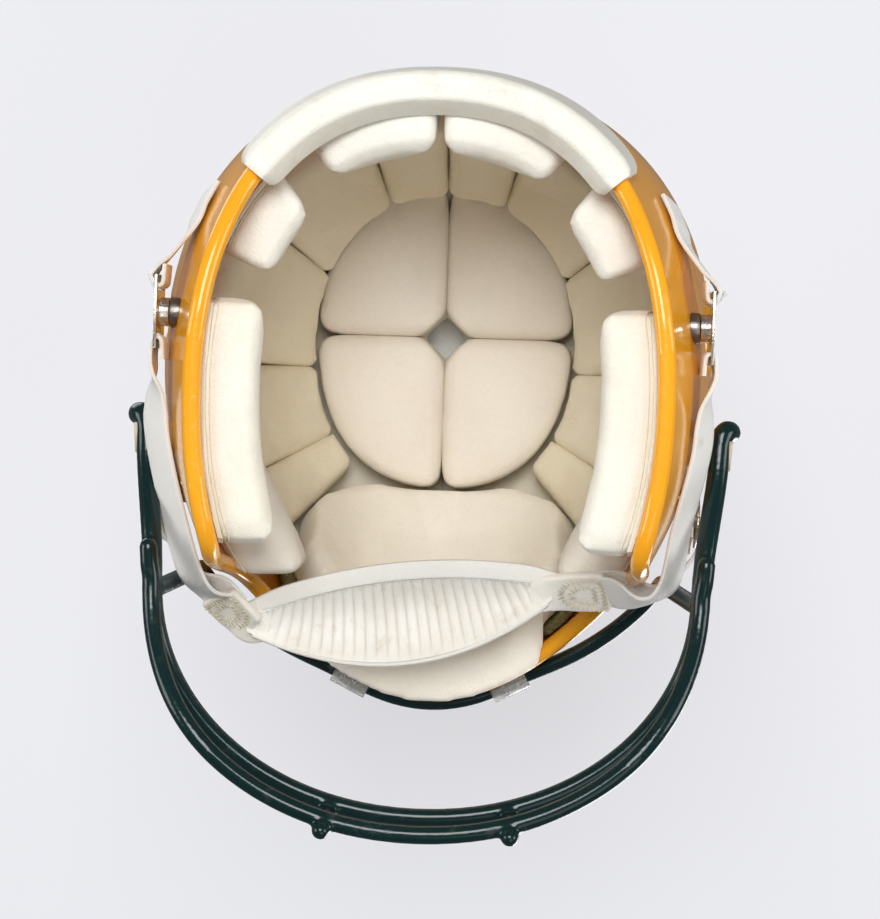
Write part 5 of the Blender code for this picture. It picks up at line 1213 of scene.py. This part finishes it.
stitch_tree = GeoTree("stitches", {"Pitch": NUMBER, "Length": NUMBER, "Thread": NUMBER,
                                   "Material": FINISH_SOCKET})
s = stitch_tree
heading = s.node("GeometryNodeInputTangent", {}, {}).outputs[0]
aligned = s.node("FunctionNodeAlignRotationToVector", {"axis": "X"}, {"Vector": heading}).outputs[0]
bean = s.node("GeometryNodeMeshUVSphere", {}, {"Segments": 8, "Rings": 6, "Radius": 0.5}).outputs[0]
size = s.node("ShaderNodeCombineXYZ", {}, {0: s.given["Length"], 1: s.given["Thread"],
                                           2: s.given["Thread"]}).outputs[0]
s.close(s.node("GeometryNodeInstanceOnPoints", {}, {"Points": s.line(s.given["Pitch"]), "Instance": bean,
                                                    "Rotation": aligned, "Scale": size}).outputs[0])


def line_object(paths, closed=True):
    """Paths as one mesh of edges; world points."""
    points, edges = [], []
    for path in paths:
        first = len(points)
        points += [tuple(p) for p in path]
        edges += [(first + i, first + i + 1) for i in range(len(path) - 1)]
        if closed:
            edges.append((first + len(path) - 1, first))
    mesh = bpy.data.meshes.new("line")
    mesh.from_pydata(points, edges, [])
    return new_object("line", mesh)


def press_seam(cushion, path, depth=0.0005, width=0.0028):
    """Lay a path onto a cushion and press a groove along it; returns the path on the skin."""
    tree = BVHTree.FromObject(cushion, bpy.context.evaluated_depsgraph_get())
    laid = [tree.find_nearest(p)[0] for p in path]
    near = KDTree(len(laid))
    for i, p in enumerate(laid):
        near.insert(p, i)
    near.balance()
    mesh = cushion.data
    for vertex, normal in zip(mesh.vertices, [v.normal.copy() for v in mesh.vertices]):
        distance = near.find(vertex.co)[2]
        if distance < width:
            vertex.co -= normal * (depth * (1 - distance / width) ** 2)
    mesh.update()
    return laid


print("trees:", [g.name for g in bpy.data.node_groups])

# %% [markdown]
# Jaw, temple, nape and side neck pads carry their seam round the side, about a third of the way up from
# the backing. Its path follows the pad's own outline, laid on the wall by the shell's rule.

# %% Seams round the pads
SEAM_RADIUS = 0.00035


def wall_place(y, z, depth, side):
    return Vector((side * (side_x(y, z, -SHELL_WALL) - depth), y, z)) + HEAD_MOVE


def ring_place(turn, z, depth, side):
    origin = Vector((0.0, CENTRES_Y[1], z))
    level = Vector((math.sin(turn), math.cos(turn), 0.0))
    p = origin + level * (reach_along(origin, level, -SHELL_WALL) - depth)
    return Vector((p.x * side, p.y, p.z)) + HEAD_MOVE


def box_path(low_u, high_u, low_v, high_v, radius, place, depth, side, steps=180):
    corners = [(low_u, low_v), (high_u, low_v), (high_u, high_v), (low_u, high_v)]
    flat = rounded(corners, [radius] * 4, 6)
    flat = even([Vector((p.x, p.y, 0)) for p in flat + flat[:1]], steps)[:-1]
    return [place(p.x, p.y, depth, side) for p in flat]


TURN = math.radians
SEAMS = (("jaw_pad", (-0.090, 0.014, 0.0085, 0.070, 0.010), wall_place, 0.0068),
         ("temple_pad", (-0.106, -0.052, 0.0800, 0.121, 0.005), wall_place, 0.0040),
         ("nape_pad", (TURN(0.8), TURN(31), 0.040, 0.080, 0.004), ring_place, 0.0035),
         ("neck_side_pad", (TURN(41), TURN(64), 0.040, 0.080, 0.004), ring_place, 0.0055))
for word, (low_u, high_u, low_v, high_v, radius), place, depth in SEAMS:
    for side_name, side in SIDES:
        node = f"{word}_{side_name}"
        cushion = cushions[node][0]
        radius = min(radius, (high_u - low_u) * 0.2)
        path = press_seam(cushion, box_path(low_u, high_u, low_v, high_v, radius, place, depth, side))
        seam = bead_tree.grow(f"{node}_seam", line_object([path]), {"Radius": SEAM_RADIUS,
                                                                  "Material": seam_vinyl})
        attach(seam, frame["nodes"][node]["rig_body"])
for node, (cushion, _) in cushions.items():
    stand_for(cushion, node)
print("seams:", 2 * len(SEAMS))

# %% [markdown]
# Small hard parts are right in the frame, but machined sharp. A merged copy of each gets a rounded edge
# from a Bevel modifier, as a mould or a press leaves it, and then its own finish. A side clip is also cut
# off at its wire, which it grips from above.

# %% Fasteners, clips, backings
BEVEL_SEGMENTS, BEVEL_ANGLE = 2, math.radians(34.0)


def refined(node, material, edge):
    """A node's solid with rounded edges."""
    item = merged_copy(node, node + "_made", material, quads=False)
    with reshaping(item.data) as shape:
        bmesh.ops.dissolve_limit(shape, angle_limit=math.radians(1.0), verts=shape.verts, edges=shape.edges)
    add_step(item, "edge", "BEVEL", width=edge, segments=BEVEL_SEGMENTS, limit_method="ANGLE",
             angle_limit=BEVEL_ANGLE, harden_normals=False)
    freeze(item)
    item.data.shade_smooth()
    item.data.set_sharp_from_angle(angle=math.radians(50))
    return stand_for(item, node)


def cut_below(item, level):
    """Take away what lies below a level and close the cut."""
    with reshaping(item.data) as shape:
        every = shape.verts[:] + shape.edges[:] + shape.faces[:]
        bmesh.ops.bisect_plane(shape, geom=every, plane_co=(0, 0, level), plane_no=(0, 0, 1),
                               clear_inner=True)
        bmesh.ops.holes_fill(shape, edges=[e for e in shape.edges if e.is_boundary])
        bmesh.ops.recalc_face_normals(shape, faces=shape.faces)


HARD_PARTS = {"_stud_": (dark_steel, 0.00025), "_buckle_": (plated_steel, 0.00030),
              "_screw_": (plated_steel, 0.00018), "brow_clip_": (clear_plastic, 0.00040),
              "side_clip_": (tan_plastic, 0.00050), "jaw_backing_": (backing_vinyl, 0.0006),
              "neck_backing_": (backing_vinyl, 0.0006)}
SADDLE_Z = 0.0672                     # where a side clip ends at its wire
made = 0
for node in sorted(frame["nodes"]):
    for word, (material, edge) in HARD_PARTS.items():
        if word in node:
            part = refined(node, material, edge)
            made += 1
            if word == "side_clip_":
                cut_below(part, SADDLE_Z)
print("hard parts:", made)

# %% [markdown]
# Behind the pads lie two plain liners: the grey base of the crown pads, and the olive foam block behind
# the forehead pad. The base is a subdivided copy; the foam is a remeshed and eased copy, as the pads are, for
# it gives.

# %% Liners
crown_base = merged_copy("crown_base", "crown_base_liner", liner_vinyl)
add_step(crown_base, "facets", "SUBSURF", levels=2, render_levels=2)
freeze(crown_base)
crown_base.data.shade_smooth()
stand_for(crown_base, "crown_base")
foam = soft_start("forehead_backing", olive_foam, 0.0002, 3, 0.0016)
stand_for(foam, "forehead_backing")
print("liners:", crown_base.name, foam.name)

# %% [markdown]
# The chin cup is a lens of foam under ribbed knit, on a bent plastic shell. Its form is a rule: shares of
# its half width and half depth, and a lift off the face. The ribs are grown by a Geometry Nodes tree that
# moves the points of the face as a wave across the cup, and hands the wave on to the material.

# %% The cup's rule
CUP_PLACE = Vector((0.012, -0.1285, 0.080))
CUP_TURN = math.radians(8)
CUP_HALF_WIDTH, CUP_HALF_DEPTH, CUP_DOME = 0.069, 0.0195, 0.015
CUP_WALL, CUP_SEAM, CUP_LINER = 0.0026, 0.0012, 0.0060
CUP_POINT, CUP_POWER = 0.80, 0.80
CUP_RIBS, CUP_RIB_HEIGHT, CUP_FAN = 29.0, 0.0015, 0.07
CUP_SHIFT, CUP_BEND = 0.0018, 0.0060   # rearwards: all over, and towards the tips
CUP_EDGE = 0.17                       # share of the half depth that the slab's round edge takes


def cup_point(u, v, lift):
    """A point of the cup; lift runs away from the chin."""
    level = CUP_DOME * max(1 - u * u, 0.0) ** CUP_POWER * (1 - CUP_POWER * v * v)
    depth = CUP_HALF_DEPTH * v * (1 - CUP_POINT * u * u) + CUP_SHIFT + CUP_BEND * u * u
    local = Vector((CUP_HALF_WIDTH * u, depth, level + lift))
    return CUP_PLACE + Matrix.Rotation(-CUP_TURN, 3, "Z") @ local


def cup_slab(name, lift, thick, columns, rows, material):
    """A layer of the cup with round edges, and the u, v and face of each point as attributes."""
    flat = [-1 + 2 * k / rows for k in range(rows + 1)]
    rings, us, vs, shares = [], [], [], []
    for i in range(columns + 1):
        u = -1 + 2 * i / columns
        end = 1 - ease((abs(u) - 0.80) / 0.13)
        ring = []
        for v, face in [(v, 1) for v in flat] + [(v, 0) for v in reversed(flat[1:-1])]:
            t = max(abs(v) - (1 - CUP_EDGE), 0.0) / CUP_EDGE
            bow = thick / 2 * (1 - math.sqrt(max(1 - t * t, 0.0)))
            ring.append(cup_point(u, v, lift + (bow if face else thick - bow)))
            us.append(u)
            vs.append(v)
            shares.append(face * (1 - abs(v) ** 5) * end)
        rings.append(ring)
    points, faces = lofted(rings)
    item = new_piece(name, points, faces, material, 60.0)
    for key, values in (("u", us), ("v", vs), ("ribbed", shares)):
        item.data.attributes.new(key, "FLOAT", "POINT").data.foreach_set("value", values)
    return item


def make_rib_finish():
    """Knit with painted shade drawn in the grooves between the ribs."""
    f = Finish("rib_knit", {"IOR": 1.45, "Sheen Weight": 0.3, "Sheen Roughness": 0.4})
    high = Sum(f, f.node("ShaderNodeAttribute", {"attribute_name": "rib"}, {}).outputs["Fac"])
    cloud = f.between(f.noise(40.0, 5.0), 0.35, 0.75)
    fuzz = f.noise(1100.0, 3.0)
    knit = f.cells(1500.0, "F1", f.scaled((1.0, 0.55, 1.0)))
    colour = f.mix(cloud, (0.87, 0.85, 0.80), (0.79, 0.75, 0.67))
    # the grooves between the ribs drawn darker: painted shade
    colour = f.mix(f.math("POWER", 1 - f.between(high, 0.0, 0.90), 1.5) * 0.36, colour, (0.52, 0.42, 0.32))
    colour = f.mix(f.between(f.noise(160.0, 4.0), 0.60, 0.75) * 0.25, colour, (0.50, 0.40, 0.28))
    return f.wear({"Base Color": colour, "Roughness": 0.78 + fuzz * 0.15,
                   "Normal": f.relief((knit, 0.00022), (fuzz, 0.00012))})


rib_tree = GeoTree("cup_ribs", {"Ribs": NUMBER, "Height": NUMBER, "Fan": NUMBER, "Material": FINISH_SOCKET})
u, v, ribbed = (rib_tree.sum("GeometryNodeInputNamedAttribute", {"data_type": "FLOAT"}, {"Name": key})
                for key in ("u", "v", "ribbed"))
fan, count, height = (Sum(rib_tree, rib_tree.given[key]) for key in ("Fan", "Ribs", "Height"))
phase = u * (1 + v * fan) * count * (math.pi / 2)
wave = rib_tree.math("POWER", rib_tree.math("ABSOLUTE", rib_tree.math("COSINE", phase)), 0.80)
drop = rib_tree.node("ShaderNodeCombineXYZ", {}, {2: wave * ribbed * height * -1.0}).outputs[0]
moved = rib_tree.node("GeometryNodeSetPosition", {}, {"Geometry": rib_tree.given["Geometry"],
                                                      "Offset": drop}).outputs[0]
kept = rib_tree.node("GeometryNodeStoreNamedAttribute", {"data_type": "FLOAT", "domain": "POINT"}, {
    "Geometry": moved, "Name": "rib", "Value": 1 - (1 - wave) * ribbed}).outputs[0]
rib_tree.close(kept)

slab = cup_slab("cup_slab", 0.0, CUP_LINER, int(CUP_RIBS) * 14, 26, cup_vinyl)
cup_liner = rib_tree.grow("ribbed_liner", slab, {"Ribs": CUP_RIBS, "Height": CUP_RIB_HEIGHT, "Fan": CUP_FAN,
                                                 "Material": make_rib_finish()})
stand_for(cup_liner, "chin_cup_liner")
cup_back = cup_slab("cup_back", CUP_LINER + CUP_SEAM, CUP_WALL, 60, 16, cup_vinyl)
stand_for(cup_back, "chin_cup_shell")
print("cup:", len(cup_liner.data.polygons), "faces,", int(CUP_RIBS), "ribs")

# %% [markdown]
# All four webs are flat polyester tape. A web is swept along its path with a slightly bowed section, and
# carries its own UV map in metres for the weave. At a buckle it runs over the end bar, down through the
# slot and back under itself, as a person threads it.

# %% Webs
STRAP_WIDTH, STRAP_THICKNESS, STRAP_CLEARANCE = 0.0190, 0.0018, 0.0010
STAND_OFFS = {LEFT: 0.0066, RIGHT: 0.0048}      # the rear webs' middle beyond the shell
STRAP_TILTS = {LEFT: math.radians(40), RIGHT: math.radians(28)}
FRONT_STRAP_TILT, STRAP_CUP_TILT = math.radians(12), math.radians(52)
BUCKLE_LENGTH, BUCKLE_BAR = 0.032, 0.0030
PLATE_LOW = 0.0070                    # the buckle plate's underside above the stud's seat
REAR_STUD, FRONT_STUD = (0.008, 0.046), (-0.070, 0.092)
FRONT_LEAN = math.radians(28)
REAR_CORNER, REAR_CORNER_OUT = (-0.1085, 0.0600), 0.01378
FRONT_CORNER, FRONT_CORNER_OUT = (-0.1078, 0.0775), 0.01252
REAR_WAY = ((0.70, 0.50), (0.40, 0.14), (0.20, 0.03))
TAB_START, TAB_SHARE, TAB_SEWN = 0.0052, 0.42, 0.55
TAB_THICKNESS = 0.0036
WEB_STEPS = 150
WEB_BOW = 0.0004
LOOP = ((0.0215, 0.0026), (0.0165, 0.0026), (0.0133, 0.0024), (0.0111, 0.0004), (0.0122, -0.0016),
        (0.0155, -0.0021), (0.0205, -0.0024))      # away from the stud, and above the plate's underside


def stud_axes(side, stud, lean):
    """A stud's seat, the direction out of the shell and the buckle's forward direction."""
    y, z = stud
    seat = Vector((side * side_x(y, z), y, z))
    return seat, Vector((side, 0, 0)), Vector((0, -math.cos(lean), -math.sin(lean)))


def threaded(side, stud, lean, forward):
    """The points of a web threaded at a buckle's forward or rear bar, from outside to the end below."""
    seat, out, ahead = stud_axes(side, stud, lean)
    return [seat + out * (PLATE_LOW + high) + ahead * (forward * away) for away, high in LOOP]


def web_section():
    """Shares of width and thickness round a flat tape with round edges."""
    result = []
    for k in range(9):
        result.append((-0.46 + 0.92 * k / 8, -0.5))
    result += [(0.49, -0.32), (0.5, 0.0), (0.49, 0.32)]
    for k in range(9):
        result.append((0.46 - 0.92 * k / 8, 0.5))
    return result + [(-0.49, 0.32), (-0.5, 0.0), (-0.49, -0.32)]


def sweep_web(name, path, outs, material, widths=STRAP_WIDTH, thicks=STRAP_THICKNESS, bow=WEB_BOW):
    """A tape along a path with its UV map; widths and thicknesses are numbers or lists."""
    rings, table, run = [], [], 0.0
    for i, (centre, d, out) in enumerate(zip(path, headings(path), outs)):
        run += (centre - path[i - 1]).length if i else 0.0
        face = (out - d * out.dot(d)).normalized()
        across = d.cross(face)
        width = widths[i] if isinstance(widths, list) else widths
        thick = thicks[i] if isinstance(thicks, list) else thicks
        ring = []
        for a, f in web_section():
            ring.append(centre + across * (width * a) + face * (thick * f + bow * (1 - 4 * a * a)))
            table.append((run, width * a))
        rings.append(ring)
    points, faces = lofted(rings)
    item = new_piece(name, points, faces, material, 60.0)
    layer = item.data.uv_layers.new(name="along")
    for loop in item.data.loops:
        layer.data[loop.index].uv = table[loop.vertex_index]
    return item


def nearest(path, point):
    return min(range(len(path)), key=lambda i: (path[i] - point).length)


def web_path(route, side, stud, lean, tab_end, corner, tilt):
    """A web's path from the cup through its buckle, and the directions its face looks."""
    seat, out, ahead = stud_axes(side, stud, lean)
    path = curve_through(route + threaded(side, stud, lean, 1), WEB_STEPS)
    leave, arrive = nearest(path, tab_end), nearest(path, corner)
    start = nearest(path, seat + out * (PLATE_LOW + LOOP[0][1]) + ahead * LOOP[0][0])
    facing = Vector((side, -1, 0)).normalized()
    outs = []
    for i, (p, d) in enumerate(zip(path, headings(path))):
        level = outwards(p)
        level.z = 0.0
        near_cup = 1 - ease((i - leave) / (arrive - leave))
        far = ease((p - seat).length / BUCKLE_LENGTH - 0.5)
        lean_now = mixed((tilt, STRAP_CUP_TILT), near_cup) * far
        level = level.normalized().lerp(facing, near_cup).normalized()
        flat = level * math.cos(lean_now) - Vector((0, 0, 1)) * math.sin(lean_now)
        turned = out * -d.dot(ahead) + ahead * d.dot(out)
        outs.append(flat.lerp(turned, ease((i - start + 14) / 14)))
    return path, outs


def joined_outs(path, out, ahead, outs, count):
    """Directions that follow the buckle's loop for the first points and the given ones after."""
    result = []
    for i, d in enumerate(headings(path)):
        turned = out * d.dot(ahead) - ahead * d.dot(out)
        result.append(turned.lerp(outs[i], ease((i - count) / 10)))
    return result


def make_tail(name, side, stud, lean, length, rise):
    """The free end beyond a buckle's rear bar, lying back along the shell."""
    seat, out, ahead = stud_axes(side, stud, lean)
    loop = list(reversed(threaded(side, stud, lean, -1)))
    y, z = seat.y - ahead.y * BUCKLE_LENGTH / 2, seat.z - ahead.z * BUCKLE_LENGTH / 2
    close = STRAP_THICKNESS / 2 + STRAP_CLEARANCE
    route = loop[:-1]
    for share in (0.50, 0.75, 1.0):
        at_y, at_z = y + (length - 0.004) * share, z + rise * share
        route.append(Vector((side * side_x(at_y, at_z, close + 0.0012 * (1 - share)), at_y, at_z)))
    path = curve_through(route, 90)
    leave = nearest(path, loop[-2])
    outs = joined_outs(path, out, -ahead, [outwards(p) for p in path], leave)
    web = sweep_web(name, path, outs, strap_webbing)
    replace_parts(web, name)
    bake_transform(web)
    return web


def tab_axes(side):
    """The tab's start, direction, length and lower side, and the corners that its two webs turn round."""
    cup = cup_point(side, 0.0, CUP_LINER / 2)
    rear = Vector((side * (side_x(*REAR_CORNER) + REAR_CORNER_OUT), *REAR_CORNER))
    front = Vector((side * (side_x(*FRONT_CORNER) + FRONT_CORNER_OUT), *FRONT_CORNER))
    away = (rear.lerp(front, 0.5) - cup).normalized()
    start = cup + away * TAB_START
    length = (rear - start).length * TAB_SHARE
    facing = Vector((side, -1, 0)).normalized()
    below = facing * math.cos(STRAP_CUP_TILT) - Vector((0, 0, 1)) * math.sin(STRAP_CUP_TILT)
    below = (below - away * below.dot(away)).normalized()
    return start, away, length, below, rear, front


webs = 0
for side_name, side in SIDES:
    start, away, length, below, rear_corner, front_corner = tab_axes(side)
    tab_end = start + away * length
    seat, _, ahead = stud_axes(side, REAR_STUD, 0.0)
    slot_y = seat.y - (BUCKLE_LENGTH / 2 - BUCKLE_BAR)
    route = [tab_end - away * 0.008, tab_end, rear_corner]
    for along, rise in REAR_WAY:
        y, z = mixed((slot_y, rear_corner.y), along), mixed((REAR_STUD[1], rear_corner.z), rise)
        route.append(Vector((side * side_x(y, z, STAND_OFFS[side]), y, z)))
    path, outs = web_path(route, side, REAR_STUD, 0.0, tab_end, rear_corner, STRAP_TILTS[side])
    web = sweep_web(f"rear_web_{side_name}", path, outs, strap_webbing)
    stand_for(web, f"rear_strap_{side_name}")
    above = -below * (TAB_THICKNESS / 2 + STRAP_THICKNESS / 2 + 0.0006)
    route = [tab_end - away * (length * TAB_SEWN) + above, tab_end + above, front_corner]
    path, outs = web_path(route, side, FRONT_STUD, FRONT_LEAN, tab_end + above, front_corner,
                          FRONT_STRAP_TILT)
    web = sweep_web(f"front_web_{side_name}", path, outs, strap_webbing)
    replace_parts(web, f"front_strap_{side_name}")
    close = stud_axes(side, FRONT_STUD, FRONT_LEAN)
    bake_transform(web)
    make_tail(f"rear_tail_{side_name}", side, REAR_STUD, 0.0, 0.044, 0.024)
    make_tail(f"front_tail_{side_name}", side, FRONT_STUD, FRONT_LEAN, 0.028, 0.012)
    webs += 4
print("webs:", webs)

# %% [markdown]
# At each end of the cup a soft tab takes the webs. It flares from the cup's tip to the width of the webs
# and is sewn down with zigzag in heavy cream thread, laid in a groove of its own. The zigzag comes from a
# tree that spreads points along a guide line and throws them to one side and the other in turn.

# %% Tabs and zigzag
zigzag_tree = GeoTree("zigzag", {"Pitch": NUMBER, "Width": NUMBER, "Thread": NUMBER,
                                 "Facing": "NodeSocketVector", "Material": FINISH_SOCKET})
z = zigzag_tree
tangent = z.node("GeometryNodeInputTangent", {}, {}).outputs[0]
aside = z.node("ShaderNodeVectorMath", {"operation": "CROSS_PRODUCT"},
               {0: tangent, 1: z.given["Facing"]}).outputs[0]
turn_now = z.math("MODULO", Sum(z, z.node("GeometryNodeInputIndex", {}, {}).outputs[0]), 2.0) - 0.5
throw = z.node("ShaderNodeVectorMath", {"operation": "SCALE"},
               {0: aside, "Scale": turn_now * Sum(z, z.given["Width"])}).outputs[0]
thrown = z.node("GeometryNodeSetPosition", {},
                {"Geometry": z.line(z.given["Pitch"]), "Offset": throw}).outputs[0]
z.close(z.swept(thrown, z.given["Thread"]))

TAB_OVER = 0.86                       # the share of the cup's half width where the tab begins
TAB_TIP_WIDTH, TAB_WIDTH, TAB_TIP_THICKNESS, TAB_SWELL = 0.0150, 0.0215, 0.0066, 0.0006
TAB_END_ROUND = 0.0024
SEWN_MIDDLE, SEWN_RINGS = 0.72, (1.0, 0.56)      # the ring's middle along the tab, and each ring's scale
TAB_STEPS = 60
SEWN_LINE = ((0.44, -0.12), (0.56, -0.32), (0.74, -0.38), (0.93, -0.38), (0.95, 0.0), (0.93, 0.38),
             (0.74, 0.38), (0.56, 0.32), (0.44, 0.12))      # shares of the tab's length and width
for side_name, side in SIDES:
    start, away, length, below, _, _ = tab_axes(side)
    lead = [cup_point(side * u, 0.0, CUP_LINER / 2 - 0.0006) for u in (TAB_OVER, 0.94)]
    path = curve_through(lead + [start - away * TAB_START, start + away * (length + 0.0012)], TAB_STEPS)
    run = sum((b - a).length for a, b in zip(path, path[1:]))
    widths, thicks, faces_to = [], [], []
    for i in range(TAB_STEPS + 1):
        share = i / TAB_STEPS
        close = min(share, 1 - share) * run
        t = max(1 - close / TAB_END_ROUND, 0.0)
        draw = math.sqrt(max(1 - t * t, 0.02))
        widths.append(mixed((TAB_TIP_WIDTH, TAB_WIDTH), ease(share / 0.62)) * (0.75 + 0.25 * draw))
        thicks.append((mixed((TAB_TIP_THICKNESS, TAB_THICKNESS), ease(share / 0.5)) + TAB_SWELL)
                      * (0.35 + 0.65 * draw))
        faces_to.append(Vector((0, 0, -1)).lerp(below, ease(share / 0.45)))
    tab = sweep_web(f"tab_{side_name}", path, faces_to, cup_vinyl, widths, thicks, 0.0003)
    add_step(tab, "fine", "SUBSURF", levels=1, render_levels=1)
    freeze(tab)
    across = away.cross(below)
    rows = []
    for scale in SEWN_RINGS:
        guide = []
        for share, a in SEWN_LINE:
            share = SEWN_MIDDLE + (share - SEWN_MIDDLE) * scale
            centre = path[min(int(share * TAB_STEPS), TAB_STEPS)]
            guide.append(centre + across * (TAB_WIDTH * a * scale) + below * TAB_THICKNESS + HEAD_MOVE)
        guide = press_seam(tab, curve_through(guide + [guide[0]], 80)[:-1], 0.0005, 0.0022)
        rows.append([p + below * 0.00025 for p in guide])
    thread = zigzag_tree.grow(f"tab_{side_name}_zigzag", line_object(rows), {
        "Pitch": 0.00105, "Width": 0.0025, "Thread": 0.00032, "Facing": below, "Material": thread_finish})
    tab.data.shade_smooth()
    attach(tab, "chin_cup")
    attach(thread, "chin_cup")
print("tabs: 2, zigzag threads:", len(thread.data.polygons), "faces each")

# %% [markdown]
# A smooth binding is folded over the cup's rear edge and runs out into the tabs; a thin hem finishes the
# front edge. A row of small stitches holds the binding along its lower side.

# %% Binding, hem and their stitches
BINDING_WIDTH, BINDING_THICKNESS = 0.0085, 0.0050
BINDING_STEPS, BINDING_FADE = 170, 26
binding_vinyl = make_vinyl("binding_vinyl", (0.80, 0.79, 0.74), (0.73, 0.71, 0.65), 1500.0, 0.46, soil=0.7)


def edge_of_cup(u, v, away, drop):
    """A point beside the cup's edge."""
    edge, inner = cup_point(u, v, CUP_LINER / 2), cup_point(u, v * 0.7, CUP_LINER / 2)
    level = Vector((edge.x - inner.x, edge.y - inner.y, 0)).normalized()
    return edge + level * away - Vector((0, 0, drop))


def tab_side_point(side, share, across_share, lift):
    start, away, length, below, _, _ = tab_axes(side)
    across = away.cross(below)
    rearward = across if across.y > 0 else -across
    return start + away * (length * share) + rearward * (TAB_WIDTH * across_share) + below * lift


band = [edge_of_cup(-0.94 + 1.88 * i / 60, 1.0, BINDING_WIDTH * 0.34, 0.0006) for i in range(61)]
ends = [tab_side_point(side, 0.22, 0.30, 0.0006) for side in (RIGHT, LEFT)]
path = curve_through([ends[0]] + band + [ends[1]], BINDING_STEPS, 6)
full = [ease(min(i, BINDING_STEPS - i) / BINDING_FADE) for i in range(BINDING_STEPS + 1)]
widths = [BINDING_WIDTH * (0.55 + 0.45 * share) for share in full]
thicks = [BINDING_THICKNESS * (0.45 + 0.55 * share) for share in full]
binding = sweep_web("folded_binding", path, [Vector((0, 0, -1))] * len(path), binding_vinyl, widths, thicks,
                    0.0003)
add_step(binding, "fold", "SUBSURF", levels=1, render_levels=1)
freeze(binding)
binding.data.shade_smooth()
stand_for(binding, "cup_binding")
hem_line = [edge_of_cup(-0.97 + 1.94 * i / 90, -1.0, -0.0002, 0.0016) for i in range(91)]
hem = bead_tree.grow("cup_hem", line_object([[p + HEAD_MOVE for p in hem_line]], False),
                     {"Radius": 0.0010, "Material": binding_vinyl})
stitch_line = [edge_of_cup(-0.93 + 1.86 * i / 90, 1.0, -0.0016, 0.0030) + HEAD_MOVE for i in range(91)]
stitches = stitch_tree.grow("binding_stitches", line_object([stitch_line], False), {
    "Pitch": 0.0026, "Length": 0.0017, "Thread": 0.00050, "Material": white_thread})
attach(hem, "chin_cup")
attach(stitches, "chin_cup")
print("binding:", len(binding.data.polygons), "faces; stitches:", len(stitches.data.polygons) // 48)

# %% [markdown]
# Behind the cells, their welded flange sheet lines the shell: a thin skin that closes the seams between
# the cells, ends in a narrow lip below them and rises at the front, above the forehead pad.

# %% Flange sheet
FLANGE_TILTS, FLANGE_TURN = (math.radians(16), math.radians(78.4)), math.radians(179.9)
FLANGE_FRONT = (math.radians(134), math.radians(148), math.radians(46))      # where it rises at the front


def flange_point(turn, tilt, depth):
    direction = Vector((math.sin(tilt) * math.sin(turn), math.sin(tilt) * math.cos(turn), math.cos(tilt)))
    return HEAD_MIDDLE + direction * (reach_along(HEAD_MIDDLE, direction, -SHELL_WALL) - depth)


FLANGE_COLUMNS, FLANGE_ROWS, FLANGE_DEPTHS = 120, 26, (0.0002, 0.0011)
outer, inner = [], []
for i in range(FLANGE_COLUMNS + 1):
    turn = FLANGE_TURN * (2 * i / FLANGE_COLUMNS - 1)
    rise = ease((abs(turn) - FLANGE_FRONT[0]) / (FLANGE_FRONT[1] - FLANGE_FRONT[0]))
    tilts = [mixed((FLANGE_TILTS[0], mixed((FLANGE_TILTS[1], FLANGE_FRONT[2]), rise)), k / FLANGE_ROWS)
             for k in range(FLANGE_ROWS + 1)]
    outer.append([flange_point(turn, t, FLANGE_DEPTHS[0]) for t in tilts])
    inner.append([flange_point(turn, t, FLANGE_DEPTHS[1]) for t in tilts])
points, faces = lofted([a + list(reversed(b)) for a, b in zip(outer, inner)])
flange = new_piece("cell_flange", points, faces, backing_vinyl, 60.0)
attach(flange, "helmet")
print("flange:", len(flange.data.polygons), "faces")
